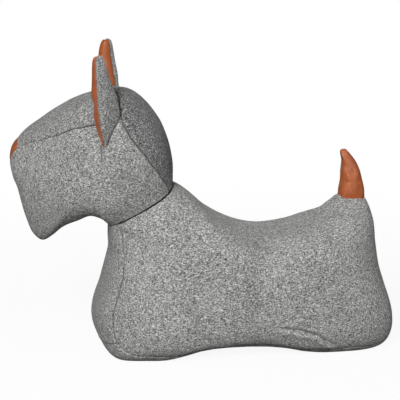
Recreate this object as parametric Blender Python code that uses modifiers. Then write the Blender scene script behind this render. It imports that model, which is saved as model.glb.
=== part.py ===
"""Dog door stop: a weighted felt terrier with leather ears, nose and tail.

The dog faces -X and stands on the floor. Its body and its head are stuffed forms: a side
outline that swells to a half width on both sides of its mid-plane. Their covers are sewn
from panels, and the head is turned on the neck seam. Lengths are in millimetres.
"""

import math

import bmesh
import bpy
import numpy as np
from mathutils import Matrix, Vector

MM = 0.001
WELD = 0.001
SOLVER_STEPS = 14

# Waves of an outline that also shape the middle of its sides
SOFT_WAVES = 3
SOFT_TURNS = 360

# Cloth, leather and the spaces between pieces
FELT = 2.0
LEATHER = 1.2
SEAM_GAP = 0.4
HEM = 1.5
STUFFING_GAP = 0.9
WADDING_REACH = 0.88

# The neck seam, where the head is sewn to the body
NECK_CENTRE = (-56.9, 129.4)
NECK_LENGTH = 64.4
NECK_TILT = math.radians(29.1)
HEAD_TURN = math.radians(-14.0)

# Body
BODY_CENTRE = (35.0, 62.0)
BODY_HALF_WIDTH = 58.0
CHEST_POINTS = ((-86.5, 102.0), (-86.5, 90.0), (-90.5, 76.0), (-94.2, 61.0), (-99.0, 45.0), (-100.2, 29.0))
CHEST_FOOT = (-97.0, 13.0)
FRONT_FOOT = ((-87.5, -0.5), (-70.0, -3.0), (-46.0, -3.0), (-28.0, 1.0))
BELLY_ARCH = ((-5.0, 6.2), (28.0, 6.6), (60.0, 4.2))
REAR_FOOT = ((84.0, -0.5), (108.0, -3.0), (135.0, -3.0), (151.0, -0.5))
REAR_END = 163.2
HEEL = ((REAR_END - 3.2, 6.5), (REAR_END, 16.0))
BASE_END = (REAR_END, 27.0)
RUMP = ((REAR_END - 1.9, 38.0), (REAR_END - 6.9, 56.0), (REAR_END - 12.2, 74.0), (REAR_END - 14.4, 92.0),
        (REAR_END - 15.7, 106.0), (REAR_END - 20.4, 116.0))
BACK_END = ((134.0, 121.5), (118.0, 120.5))
BACK = ((98.0, 116.0), (78.0, 109.8), (50.0, 107.4), (22.0, 112.8), (0.0, 124.6), (-16.0, 138.8))

# Felt that stands up round the foot of the tail: (distance along, height)
STUMP_RISE = ((93.0, 0.0), (98.0, 1.5), (107.0, 7.0), (116.5, 12.5), (129.0, 10.0), (141.5, 7.5),
              (147.0, 2.5), (152.0, 0.0))
STUMP_HALF_WIDTH = 15.0
STUMP_BELOW = 95.0

# The outline above the neck cut, which only the shape near the cut depends on
NECK_DOME_ON_BODY = ((-52.0, 154.0), (-79.0, 146.0), (-91.0, 128.0))

# Roundness of the body by the angle seen from its centre, in degrees from the rear
BODY_FULLNESS = ((0, 2.8), (60, 2.4), (100, 2.3), (150, 2.2), (180, 2.9), (205, 4), (240, 5), (300, 5),
                 (335, 4))

# Half widths of the chest gusset and of the base
CHEST_NECK_INSET = 31.0
CHEST_INSET = 22.0
CHEST_FOOT_INSET = 18.0
BASE_INSET = 11.0
HEEL_HALF_WIDTHS = (41.0, 31.0, 18.0)
BASE_END_HALF_WIDTH = 1.5

# Head, drawn before it is turned
HEAD_CENTRE = (-100.0, 165.0)
HEAD_FULLNESS = 2.5
SKULL_HALF_WIDTH = 47.0
MUZZLE_HALF_WIDTH = 30.0
NAPE = ((-30.6, 165.2), (-34.0, 182.9), (-40.8, 201.4), (-50.2, 215.3), (-61.1, 225.6))
POLL = (-72.0, 231.2)
BROW = ((-84.0, 231.6), (-97.0, 227.6), (-110.0, 223.6), (-124.0, 216.5), (-139.4, 206.5), (-153.3, 196.5))
NOSE_TOP = (-162.3, 187.8)
NOSE_FRONT = (-167.6, 180.0)
NOSE_TIP = (-169.8, 170.5)
MUZZLE = ((-169.0, 161.0), (-167.0, 152.5), (-163.6, 144.0), (-160.0, 127.1), (-156.1, 114.0),
          (-151.5, 103.0))
BEARD = ((-143.5, 96.5), (-134.5, 101.5))
JAW = ((-124.0, 110.8), (-110.0, 118.0), (-97.5, 123.0))
NECK_DOME_ON_HEAD = ((-79.0, 105.0), (-61.0, 102.0), (-42.0, 111.0), (-30.0, 128.0))

# Half widths of the nose patch, the crown gusset and the back panel
NOSE_TIP_HALF_WIDTH = 1.5
NOSE_HALF_WIDTH = 14.0
CROWN_SEAM = (((-135.3, 194.7), 27.0), ((-119.5, 201.7), 33.0), ((-94.7, 211.7), 38.0))
EAR_LINE_SEAM = ((-74.0, 217.2), 30.0)
NAPE_SEAM = (((-60.7, 197.2), 36.0), ((-51.0, 183.7), 35.0), ((-42.3, 168.3), 29.0),
             ((-34.5, 152.8), 20.0))

# How much further forward the seam between the crown and the back panel runs at its middle
EAR_LINE_BOW = math.radians(10.5)

# Ears: outer and inner corner, where the ear leaves the head, and tip; y is the distance from the mid-plane
EAR_OUTER_Y = SKULL_HALF_WIDTH - 3.3
EAR_INNER_Y = SKULL_HALF_WIDTH - 16.0
EAR_TIP_Y = SKULL_HALF_WIDTH - 7.0
EAR_FOOT = 194.4
LEFT_EAR_HEIGHT = 75.1
RIGHT_EAR_HEIGHT = 70.5
LEFT_EAR = ((-84.8, EAR_OUTER_Y, EAR_FOOT), (-73.6, EAR_INNER_Y, EAR_FOOT + 24.2),
            (-89.3, EAR_TIP_Y, EAR_FOOT + LEFT_EAR_HEIGHT))
RIGHT_EAR = ((-90.5, EAR_OUTER_Y, EAR_FOOT), (-80.5, EAR_INNER_Y, EAR_FOOT + 23.2),
             (-89.3, EAR_TIP_Y, EAR_FOOT + RIGHT_EAR_HEIGHT))
EAR_BACK_SWELL = 6.0
EAR_FRONT_SWELL = 9.5
EAR_OUTER_BOW = 4.0
EAR_INNER_BOW = 2.0
EAR_ROOT = 4.0
EAR_TIP_RADIUS = 3.2
EAR_FULLNESS = 2.8
EAR_FELT = 1.4

# Tail
TAIL_FRONT = (117.3, 134.0)
TAIL_REAR = (141.8, 127.3)
TAIL_TIP = (121.5, 172.5)
TAIL_CENTRE = (128.5, 144.0)
TAIL_HALF_WIDTH = 11.0
TAIL_TIP_HALF_WIDTH = 7.2
TAIL_FULLNESS = 2.1
TAIL_ROOT = 12.0
TAIL_TIP_RADIUS = 3.5
TAIL_FRONT_BOW = 1.0
TAIL_REAR_BOW = 6.0

# Ballast bag, lying on the base inside the stuffing
BALLAST_LENGTH = 170.0
BALLAST_HALF_WIDTH = 38.0
BALLAST_HEIGHT = 48.0
BALLAST_CENTRE_X = 38.0
BALLAST_SHOULDER = 24.0
BALLAST_SINK = 12.0
BALLAST_FULLNESS = 3.0

# Rows of each panel along the outline
BODY_ROW_COUNTS = {"neck": 7, "chest": 7, "toes": 3, "sole": 8, "heel": 7, "rump": 6, "stump": 9, "back": 7}
HEAD_ROW_COUNTS = {"neck": 9, "nape": 9, "crown": 10, "nose": 3, "jaw": 14}
NECK_SEARCH = math.radians(42)

TWO_PI = 2 * math.pi


def axis_point(centre, direction, distance):
    """Point at a distance from a centre, both in the plane."""
    return (centre[0] + direction[0] * distance, centre[1] + direction[1] * distance)


NECK_ALONG = (math.cos(NECK_TILT), math.sin(NECK_TILT))
NECK_UP = (-math.sin(NECK_TILT), math.cos(NECK_TILT))
NECK_BACK = axis_point(NECK_CENTRE, NECK_ALONG, NECK_LENGTH / 2)
NECK_FRONT = axis_point(NECK_CENTRE, NECK_ALONG, -NECK_LENGTH / 2)


def closed_curve(points, steps=12):
    """Points along the smooth closed curve (Catmull-Rom) that passes through the given points."""
    here = np.array(points, float)
    before, after, beyond = (np.roll(here, shift, axis=0)[:, None] for shift in (1, -1, -2))
    here = here[:, None]
    t = (np.arange(steps) / steps)[None, :, None]
    curve = here + 0.5 * t * (after - before)
    curve = curve + t**2 * (before - 2.5 * here + 2 * after - 0.5 * beyond)
    curve = curve + t**3 * (1.5 * (here - after) + 0.5 * (beyond - before))
    return curve.reshape(-1, 2)


def full_turn(count):
    """Angles all the way round."""
    return np.linspace(0, TWO_PI, count, endpoint=False)


class Form:
    """A stuffed form around the plane y = 0, in polar coordinates about a centre.

    A point is given by its angle and its share of the way from the centre to the outline.
    The half width falls from its full value at the centre to nothing at the outline, and
    fullness is the power of that fall: 2 is round, 5 is nearly square.
    """

    def __init__(self, outline, centre, half_width, fullness, floor=None, cut=None, rise=None, skew=0.0):
        self.centre = np.array(centre, float)
        self.half_width = half_width
        self.fullness = fullness
        self.floor = floor
        self.cut = cut
        self.rise = rise
        self.skew = skew
        curve = closed_curve(outline) - self.centre
        angle = np.arctan2(curve[:, 1], curve[:, 0]) % TWO_PI
        order = np.argsort(angle)
        self.angles = angle[order]
        self.radii = np.hypot(curve[:, 0], curve[:, 1])[order]
        around = full_turn(SOFT_TURNS)
        waves = np.fft.rfft(np.interp(around, self.angles, self.radii, period=TWO_PI))
        waves[SOFT_WAVES + 1:] = 0
        self.around, self.soft = around, np.fft.irfft(waves, SOFT_TURNS)

    def angle_of(self, point):
        """Angle of a point of the plane, seen from the centre."""
        return math.atan2(point[1] - self.centre[1], point[0] - self.centre[0]) % TWO_PI

    def radius(self, angle):
        """Distance from the centre to the outline."""
        return np.interp(angle, self.angles, self.radii, period=TWO_PI)

    def reach(self, angle, share):
        """Distance from the centre; the outline's small waves die out towards the middle."""
        soft = np.interp(angle, self.around, self.soft, period=TWO_PI)
        return share * (soft + (self.radius(angle) - soft) * share**2)

    def share_of(self, angle, distance):
        """Share of the way out at a distance from the centre."""
        share = distance / self.radius(angle)
        for _ in range(SOLVER_STEPS):
            share = share * (distance / np.maximum(self.reach(angle, share), 1e-9)) ** 0.7
        return share

    def place(self, angle, share, side):
        """Surface points, before the floor flattens them."""
        reach = self.reach(angle, share)
        x = self.centre[0] + reach * np.cos(angle)
        z = self.centre[1] + reach * np.sin(angle)
        power = self.fullness(angle)
        swell = np.clip(1 - share**power, 0, 1) ** (1 / power)
        y = side * (1 + self.skew * side) * self.half_width(x, z) * swell
        return np.stack([x, y, z + self.rise(x, y, z) if self.rise else z], axis=-1)

    def depth(self, points):
        """Below 0 inside the form, 0 on its surface, above 0 outside."""
        x, y, z = np.moveaxis(points, -1, 0)
        z = z - self.rise(x, y, z) if self.rise else z
        angle = np.arctan2(z - self.centre[1], x - self.centre[0])
        share = self.share_of(angle, np.hypot(x - self.centre[0], z - self.centre[1]))
        power = self.fullness(angle)
        width = (1 + self.skew * np.sign(y)) * self.half_width(x, z)
        return share**power + (np.abs(y) / width) ** power - 1

    def normals(self, points):
        """Outward unit normals."""
        step = 0.2
        slopes = [self.depth(points + step * axis) - self.depth(points - step * axis) for axis in np.eye(3)]
        slopes = np.stack(slopes, axis=-1)
        return slopes / np.linalg.norm(slopes, axis=-1, keepdims=True)

    def surface(self, angle, share, side, inward=0.0):
        """Surface points moved inwards by a distance, and kept above the floor."""
        points = self.place(angle, share, side)
        if inward:
            points = points - inward * self.normals(points)
        if self.floor is not None:
            points[..., 2] = np.maximum(points[..., 2], self.floor + inward)
        return points

    def share_at(self, angle, half):
        """Share of the way out at which the surface is a given distance from the mid-plane."""
        share = np.ones_like(angle)
        for _ in range(6):
            reach = self.reach(angle, share)
            x = self.centre[0] + reach * np.cos(angle)
            z = self.centre[1] + reach * np.sin(angle)
            power = self.fullness(angle)
            share = np.clip(1 - (half / self.half_width(x, z)) ** power, 0, 1) ** (1 / power)
        return share

    def cut_share(self, angle, clearance=SEAM_GAP / 2):
        """Share of the way out at which the ray meets the neck cut, kept clear of it."""
        centre, keep = self.cut
        away = -keep * np.array(NECK_UP)
        distance = np.dot(np.array(centre) - self.centre, away) - clearance
        slope = away[0] * np.cos(angle) + away[1] * np.sin(angle)
        reach = np.clip(distance / np.maximum(slope, 1e-6), 0, 2 * self.radius(angle))
        return np.where(slope > 1e-6, self.share_of(angle, reach), np.inf)

    def cut_angle(self, start, end, half):
        """Angle between two angles at which a line on the surface reaches the neck cut."""
        angle = np.linspace(start, end, 2001)
        room = self.cut_share(angle) - self.share_at(angle, half(angle))
        crossing = np.nonzero(np.diff(np.sign(room)))[0][0]
        return angle[crossing]


def stations(form, *pairs):
    """Half width of a seam as a function of the angle, from (point of the outline, half width) pairs."""
    angles = np.array([form.angle_of(point) for point, _ in pairs])
    halves = np.array([half for _, half in pairs], float)
    order = np.argsort(angles)
    return lambda angle: np.interp(angle, angles[order], halves[order], period=TWO_PI)


def evenly(form, start, end, count):
    """Angles from start to end, evenly spaced along the outline."""
    if end < start:
        end += TWO_PI
    angle = np.linspace(start, end, 800)
    reach = form.radius(angle)
    points = np.stack([reach * np.cos(angle), reach * np.sin(angle)], axis=-1)
    length = np.concatenate([[0], np.cumsum(np.linalg.norm(np.diff(points, axis=0), axis=1))])
    return np.interp(np.linspace(0, length[-1], count + 1), length, angle)


def joined(*runs):
    """Runs of angles end to end, each starting where the one before it ends."""
    return np.concatenate([run[:-1] for run in runs[:-1]] + [runs[-1]])


def hemmed(form, angles):
    """Angles of a panel's rows, with a narrow row added at both ends."""
    first, last = HEM / form.radius(angles[0]), HEM / form.radius(angles[-1])
    return np.concatenate([angles[:1], angles[:1] + first, angles[1:-1], angles[-1:] - last, angles[-1:]])


def bridge(outer, inner):
    """Quads between two rows of vertex numbers."""
    outer, inner = list(outer), list(inner)
    return [(outer[i], outer[i + 1], inner[i + 1], inner[i]) for i in range(len(outer) - 1)]


# Places of the rings of a side, in degrees from its middle round to its edge, and of a strip's columns
BODY_RINGS = (10, 24, 42, 60, 74, 84, 89.5, 90)
FILLING_RINGS = (10, 24, 42, 60, 74, 84, 90)
SMALL_RINGS = (36, 65, 86, 90)
CUTTER_RINGS = range(10, 91, 8)
CUTTER_TURNS = 60
SMALL_TURNS = 24
BALLAST_TURNS = 28
COLUMNS = np.array([-1.0, -0.96, -0.86, -0.7, -0.45, -0.2, 0.2, 0.45, 0.7, 0.86, 0.96, 1.0])


def side_faces(first, count, rings, side):
    """Faces of one side: a fan round the middle point, then rings of quads; and its rim."""
    loops = [[first + 1 + ring * count + i % count for i in range(count + 1)] for ring in range(rings)]
    faces = [(first, after, before) for before, after in zip(loops[0], loops[0][1:])]
    for inner, outer in zip(loops, loops[1:]):
        faces += bridge(inner, outer)
    return faces if side > 0 else [face[::-1] for face in faces], loops[-1]


def side_points(form, side, angles, edge, rings, inward=0.0):
    """Points of one side: the middle point, then rings out to the edge."""
    points = [form.surface(np.zeros(1), np.zeros(1), side, inward)]
    for ring in rings:
        share = edge * math.sin(math.radians(ring)) ** (2 / form.fullness(angles))
        points.append(form.surface(angles, share, side, inward))
    return np.concatenate(points)


def side_cover(form, side, angles, half):
    """Open side panel, from the middle of the side out to its seams and the neck cut."""
    edge = form.share_at(angles, half(angles) + SEAM_GAP / 2)
    if form.cut:
        edge = np.minimum(edge, form.cut_share(angles))
    faces, _ = side_faces(0, len(angles), len(BODY_RINGS), side)
    return side_points(form, side, angles, edge, BODY_RINGS), faces


def strip_cover(form, starts, ends, along, half):
    """Open panel across the mid-plane, with a first and a last angle for each column."""
    along = (along - along[0]) / (along[-1] - along[0])
    angle = starts + (ends - starts) * along[:, None]
    width = (half(angle) - SEAM_GAP / 2) * np.abs(COLUMNS)
    points = form.surface(angle, form.share_at(angle, width), np.sign(COLUMNS))
    lines = np.arange(angle.size).reshape(angle.shape)
    faces = [face for first, second in zip(lines, lines[1:]) for face in bridge(first, second)]
    return points.reshape(-1, 3), faces


def solid(form, angles, inward, rings=FILLING_RINGS, reach=1.0):
    """Closed solid that lies a distance inside a form's surface, or outside it if below 0."""
    edge = np.full_like(angles, reach)
    if form.cut:
        edge = np.minimum(edge, form.cut_share(angles, FELT))
    near = side_points(form, -1, angles, edge, rings, inward)
    far = side_points(form, 1, angles, edge, rings, inward)
    near_faces, near_rim = side_faces(0, len(angles), len(rings), -1)
    far_faces, far_rim = side_faces(len(near), len(angles), len(rings), 1)
    return np.concatenate([near, far]), near_faces + far_faces + bridge(far_rim, near_rim)


def shell(form, side, angles, thickness):
    """Closed half of a small hollow form: its inner face is a smaller copy of its outer one."""
    rings = len(SMALL_RINGS)
    edge = form.share_at(angles, np.full_like(angles, SEAM_GAP / 2))
    outer = side_points(form, side, angles, edge, SMALL_RINGS)
    shrink = 1 - thickness / form.radius(np.concatenate([angles[:1]] + [angles] * rings))
    inner = outer.copy()
    for axis, middle in ((0, form.centre[0]), (2, form.centre[1])):
        inner[:, axis] = middle + (outer[:, axis] - middle) * shrink
    thin = 1 - thickness / np.abs(outer[0, 1])
    inner[:, 1] = side * np.maximum(np.abs(outer[:, 1]) * thin, SEAM_GAP / 2)
    outer_faces, outer_rim = side_faces(0, len(angles), rings, side)
    inner_faces, inner_rim = side_faces(len(outer), len(angles), rings, -side)
    wall = bridge(inner_rim, outer_rim)
    wall = wall if side < 0 else [face[::-1] for face in wall]
    return np.concatenate([outer, inner]), outer_faces + inner_faces + wall


def gap_angle(form, angle):
    """A seam gap, as an angle at the outline."""
    return SEAM_GAP / form.radius(angle)


def cut_angles(form, neck, half):
    """Angle at which each column of a panel meets the neck cut."""
    limit = neck + NECK_SEARCH
    shares = np.abs(COLUMNS)
    return np.array([form.cut_angle(neck, limit, lambda angle, t=t: half(angle) * t) for t in shares])


class Maker:
    """Puts the pieces of one sub-part in the scene, under one empty."""

    def __init__(self, name, parts, cutters, matrix, parent=None, origin=(0.0, 0.0, 0.0)):
        self.parts, self.cutters, self.origin = parts, cutters, np.array(origin)
        self.empty = bpy.data.objects.new(name, None)
        self.empty.matrix_local = matrix
        self.empty.parent = parent
        parts.objects.link(self.empty)

    def mesh(self, name, shape, collection):
        """Mesh object from points in millimetres, with points that coincide welded."""
        points, faces = shape
        mesh = bpy.data.meshes.new(name)
        mesh.from_pydata((np.asarray(points) - self.origin) * MM, [], faces)
        built = bmesh.new()
        built.from_mesh(mesh)
        bmesh.ops.remove_doubles(built, verts=built.verts, dist=WELD * MM)
        built.to_mesh(mesh)
        built.free()
        obj = bpy.data.objects.new(name, mesh)
        collection.objects.link(obj)
        obj.parent = self.empty
        return obj

    def cover(self, name, shape, material, thickness=FELT):
        """Sewn panel: an open surface thickened inwards."""
        obj = self.mesh(name, shape, self.parts)
        obj.data.materials.append(material)
        obj.data.shade_smooth()
        skin = obj.modifiers.new("Thickness", "SOLIDIFY")
        skin.thickness = thickness * MM
        skin.offset = -1.0
        return obj

    def stuffing(self, name, shape, material):
        """Closed solid piece."""
        obj = self.mesh(name, shape, self.parts)
        obj.data.materials.append(material)
        obj.data.shade_smooth()
        return obj

    def cutter(self, name, shape):
        """Closed solid that only shapes other pieces."""
        obj = self.mesh(name, shape, self.cutters)
        obj.hide_render = True
        obj.display_type = "WIRE"
        return obj


def shape_with(obj, operation, other):
    """Exact Boolean of a piece with a cutter."""
    modifier = obj.modifiers.new(operation.title(), "BOOLEAN")
    modifier.operation = operation
    modifier.solver = "EXACT"
    modifier.object = other


def material(name, colour, roughness):
    """Principled material; the colour is linear."""
    made = bpy.data.materials.new(name)
    made.use_nodes = True
    shader = made.node_tree.nodes["Principled BSDF"]
    shader.inputs["Base Color"].default_value = (*colour, 1.0)
    shader.inputs["Roughness"].default_value = roughness
    shader.inputs["Metallic"].default_value = 0.0
    made.diffuse_color = (*colour, 1.0)
    return made


def grey_felt(name):
    """Heathered grey wool felt."""
    return material(name, (0.28, 0.28, 0.27), 0.95)


def brown_leather(name):
    """Cognac leather."""
    return material(name, (0.36, 0.13, 0.06), 0.5)


def white_wadding(name):
    """White polyester wadding."""
    return material(name, (0.85, 0.85, 0.83), 1.0)


def plain_cotton(name):
    """Undyed cotton."""
    return material(name, (0.6, 0.55, 0.45), 0.9)


def everywhere(value):
    """Function that gives the same value everywhere."""
    return lambda first, *others: np.full_like(first, value)


def nothing(angle):
    """Half width of a seam on the mid-plane."""
    return np.zeros_like(angle)


def stump_rise(x, y, z):
    """How far the felt stands up round the foot of the tail."""
    along, height = zip(*STUMP_RISE)
    return np.interp(x, along, height) * np.exp(-((y / STUMP_HALF_WIDTH) ** 2)) * (z > STUMP_BELOW)


def body_form():
    """Body outline, swelling to the sides, squarer towards the floor."""
    outline = (NECK_FRONT, *CHEST_POINTS, CHEST_FOOT, *FRONT_FOOT, *BELLY_ARCH, *REAR_FOOT, *HEEL, BASE_END,
               *RUMP, *BACK_END, *BACK, NECK_BACK, *NECK_DOME_ON_BODY)
    turns, powers = zip(*BODY_FULLNESS)

    def fullness(angle):
        return np.interp(np.degrees(angle), turns, powers, period=360)

    return Form(outline, BODY_CENTRE, everywhere(BODY_HALF_WIDTH), fullness, floor=0.0, cut=(NECK_CENTRE, -1),
                rise=stump_rise)


def head_form():
    """Head outline, swelling to the skull and less to the muzzle."""
    outline = (NECK_BACK, *NAPE, POLL, *BROW, NOSE_TOP, NOSE_FRONT, NOSE_TIP, *MUZZLE, *BEARD, *JAW,
               NECK_FRONT, *NECK_DOME_ON_HEAD)

    def half_width(x, z):
        along = np.clip((x - NOSE_TIP[0]) / (HEAD_CENTRE[0] - NOSE_TIP[0]), 0, 1)
        smooth = along**2 * (3 - 2 * along)
        return MUZZLE_HALF_WIDTH + (SKULL_HALF_WIDTH - MUZZLE_HALF_WIDTH) * smooth

    return Form(outline, HEAD_CENTRE, half_width, everywhere(HEAD_FULLNESS), cut=(NECK_CENTRE, 1))


def build_body(maker):
    """Two sides, a chest gusset and a base, round the stuffing and its ballast bag."""
    form = body_form()
    base_half = BODY_HALF_WIDTH - BASE_INSET
    above_end = (BASE_END[0], BASE_END[1] + 1)
    chest = ((NECK_FRONT, BODY_HALF_WIDTH - CHEST_NECK_INSET),
             (CHEST_POINTS[2], BODY_HALF_WIDTH - CHEST_INSET),
             (CHEST_FOOT, BODY_HALF_WIDTH - CHEST_FOOT_INSET))
    heel = zip((REAR_FOOT[3], *HEEL), HEEL_HALF_WIDTHS)
    half = stations(form, (NECK_BACK, 0), *chest, (FRONT_FOOT[1], base_half), (REAR_FOOT[2], base_half),
                    *heel, (BASE_END, BASE_END_HALF_WIDTH), (above_end, 0))
    neck = form.angle_of(NECK_CENTRE)
    back = form.cut_angle(neck, neck - NECK_SEARCH, nothing)
    front = form.cut_angle(neck, neck + NECK_SEARCH, half)
    foot = form.angle_of(CHEST_FOOT)
    rear = form.angle_of(BASE_END)
    toes = form.angle_of(FRONT_FOOT[1])
    heel_start = form.angle_of(REAR_FOOT[2])
    tail_rear, tail_front = form.angle_of(BACK_END[0]), form.angle_of(BACK[0])
    rows = BODY_ROW_COUNTS
    neck_angles = evenly(form, back, front, rows["neck"])
    chest_angles = hemmed(form, evenly(form, front, foot, rows["chest"]))
    base_angles = hemmed(form, joined(evenly(form, foot, toes, rows["toes"]),
                                      evenly(form, toes, heel_start, rows["sole"]),
                                      evenly(form, heel_start, rear, rows["heel"])))
    ridge_angles = joined(evenly(form, rear, tail_rear, rows["rump"]),
                          evenly(form, tail_rear, tail_front, rows["stump"]),
                          evenly(form, tail_front, back, rows["back"]))
    runs = (neck_angles, chest_angles, base_angles, ridge_angles)
    angles = np.concatenate([run[:-1] for run in runs])

    for name, side in (("body_side_left", -1), ("body_side_right", 1)):
        maker.cover(name, side_cover(form, side, angles, half), grey_felt(name))
    tops = cut_angles(form, neck, half) + 2 * gap_angle(form, front)
    gap = gap_angle(form, foot)
    same = np.ones_like(COLUMNS)
    chest = strip_cover(form, tops, (foot - gap) * same, chest_angles, half)
    maker.cover("chest_gusset", chest, grey_felt("chest_gusset"))
    base = strip_cover(form, (foot + gap) * same, rear * same, base_angles, half)
    maker.cover("base_panel", base, grey_felt("base_panel"))

    inside = FELT + STUFFING_GAP
    stuffing = maker.stuffing("body_filling", solid(form, angles, inside), white_wadding("body_filling"))
    space = maker.cutter("stuffing_space", solid(form, angles, inside))
    bag_form = ballast_form()
    turns = full_turn(BALLAST_TURNS)
    bag = maker.stuffing("ballast_bag", solid(bag_form, turns, 0.0, SMALL_RINGS), plain_cotton("ballast_bag"))
    shape_with(bag, "INTERSECT", space)
    pocket = maker.cutter("ballast_pocket", solid(bag_form, turns, -SEAM_GAP, SMALL_RINGS))
    shape_with(stuffing, "DIFFERENCE", pocket)
    return maker.cutter("body_outside", solid(form, angles, -SEAM_GAP, BODY_RINGS))


def ballast_form():
    """Pillow of sand, whose lower part the base cuts off."""
    middle = (BALLAST_CENTRE_X, BALLAST_HEIGHT / 2)
    rear, front = (BALLAST_CENTRE_X + turn * BALLAST_LENGTH / 2 for turn in (1, -1))
    outline = ((rear, middle[1]), (rear - BALLAST_SHOULDER, BALLAST_HEIGHT),
               (BALLAST_CENTRE_X, BALLAST_HEIGHT), (front + BALLAST_SHOULDER, BALLAST_HEIGHT),
               (front, middle[1]), (front + BALLAST_SINK, -BALLAST_SINK), (BALLAST_CENTRE_X, -BALLAST_SINK),
               (rear - BALLAST_SINK, -BALLAST_SINK))
    return Form(outline, middle, everywhere(BALLAST_HALF_WIDTH), everywhere(BALLAST_FULLNESS))


def build_head(maker):
    """Two sides, a crown gusset, a back panel and a nose patch, round the stuffing."""
    form = head_form()
    half = stations(form, (NOSE_TIP, NOSE_TIP_HALF_WIDTH), (NOSE_TOP, NOSE_HALF_WIDTH), *CROWN_SEAM,
                    EAR_LINE_SEAM, *NAPE_SEAM, (NECK_FRONT, 0), (MUZZLE[0], 0))
    neck = form.angle_of(NECK_CENTRE)
    throat = form.cut_angle(neck, neck - NECK_SEARCH, nothing)
    nape = form.cut_angle(neck, neck + NECK_SEARCH, half)
    ear_line = form.angle_of(EAR_LINE_SEAM[0])
    nose_top = form.angle_of(NOSE_TOP)
    nose_tip = form.angle_of(NOSE_TIP)
    rows = HEAD_ROW_COUNTS
    neck_angles = evenly(form, throat, nape, rows["neck"])
    nape_angles = hemmed(form, evenly(form, nape, ear_line, rows["nape"]))
    crown_angles = hemmed(form, evenly(form, ear_line, nose_top, rows["crown"]))
    nose_angles = hemmed(form, evenly(form, nose_top, nose_tip, rows["nose"]))
    jaw_angles = evenly(form, nose_tip, throat, rows["jaw"])
    runs = (neck_angles, nape_angles, crown_angles, nose_angles, jaw_angles)
    angles = np.concatenate([run[:-1] for run in runs])

    for name, side in (("head_side_left", -1), ("head_side_right", 1)):
        maker.cover(name, side_cover(form, side, angles, half), grey_felt(name))
    same = np.ones_like(COLUMNS)
    ear_gap = gap_angle(form, ear_line)
    nose_gap = gap_angle(form, nose_top)
    ear_seam = ear_line + EAR_LINE_BOW * (1 - np.abs(COLUMNS))
    nape_end = ear_seam + TWO_PI * (ear_line < nape) - ear_gap
    nape_panel = strip_cover(form, cut_angles(form, neck, half), nape_end, nape_angles, half)
    maker.cover("head_back_panel", nape_panel, grey_felt("head_back_panel"))
    crown = strip_cover(form, ear_seam + ear_gap, (nose_top - nose_gap) * same, crown_angles, half)
    maker.cover("head_crown_gusset", crown, grey_felt("head_crown_gusset"))
    nose = strip_cover(form, (nose_top + nose_gap) * same, nose_tip * same, nose_angles, half)
    maker.cover("nose_patch", nose, brown_leather("nose_patch"), LEATHER)
    maker.stuffing("head_filling", solid(form, angles, FELT + STUFFING_GAP), white_wadding("head_filling"))
    whole = head_form()
    whole.cut = None
    return maker.cutter("head_outside", solid(whole, full_turn(CUTTER_TURNS), -SEAM_GAP, CUTTER_RINGS))


def ear_matrix(corners, side):
    """Local frame of an ear: x across it, z up it, from the middle of its root line."""
    outer, inner, tip = (Vector((x, y * side, z)) for x, y, z in corners)
    middle = (outer + inner) / 2
    up = (tip - middle).normalized()
    across = (inner - outer) - (inner - outer).dot(up) * up
    across.normalize()
    forward = up.cross(across)
    frame = Matrix((across, forward, up)).transposed().to_4x4()
    frame.translation = middle
    return frame, [frame.inverted() @ corner for corner in (outer, inner, tip)]


def bowed(start, end, share, bow):
    """Point between two points of the plane, pushed to one side."""
    start, end = Vector(start), Vector(end)
    along = end - start
    return tuple(start + share * along + bow * Vector((-along.y, along.x)).normalized())


def build_ear(name, corners, side, parts, cutters, head, head_origin, head_cutter):
    """Felt back and leather lining, sewn round the edge over a little wadding."""
    frame, corners = ear_matrix(corners, side)
    frame.translation -= Vector(head_origin)
    frame.translation *= MM
    maker = Maker(f"ear_{name}_place", parts, cutters, frame, head.empty)
    outer, inner, tip = ((corner.x, corner.z) for corner in corners)
    outline = (outer, bowed(outer, tip, 0.35, EAR_OUTER_BOW), bowed(outer, tip, 0.7, EAR_OUTER_BOW),
               bowed(outer, tip, 0.96, EAR_TIP_RADIUS), tip, bowed(tip, inner, 0.05, EAR_TIP_RADIUS),
               bowed(tip, inner, 0.4, EAR_INNER_BOW), bowed(tip, inner, 0.75, EAR_INNER_BOW), inner,
               bowed(inner, outer, 0.2, EAR_ROOT), bowed(inner, outer, 0.8, EAR_ROOT))
    centre = ((outer[0] + inner[0] + tip[0]) / 3, tip[1] / 3)
    swell = (EAR_FRONT_SWELL + EAR_BACK_SWELL) / 2
    form = Form(outline, centre, everywhere(swell), everywhere(EAR_FULLNESS),
                skew=-side * (EAR_FRONT_SWELL / swell - 1))
    turns = evenly(form, 0.0, TWO_PI - 1e-6, SMALL_TURNS)[:-1]
    back_shell, lining_shell = shell(form, side, turns, EAR_FELT), shell(form, -side, turns, LEATHER)
    back = maker.stuffing(f"ear_{name}_back", back_shell, grey_felt(f"ear_{name}_back"))
    lining = maker.stuffing(f"ear_{name}_lining", lining_shell, brown_leather(f"ear_{name}_lining"))
    inside = solid(form, turns, EAR_FELT + SEAM_GAP, SMALL_RINGS[:-2], WADDING_REACH)
    wadding = maker.stuffing(f"ear_{name}_wadding", inside, white_wadding(f"ear_{name}_wadding"))
    for piece in (back, lining, wadding):
        shape_with(piece, "DIFFERENCE", head_cutter)


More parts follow.
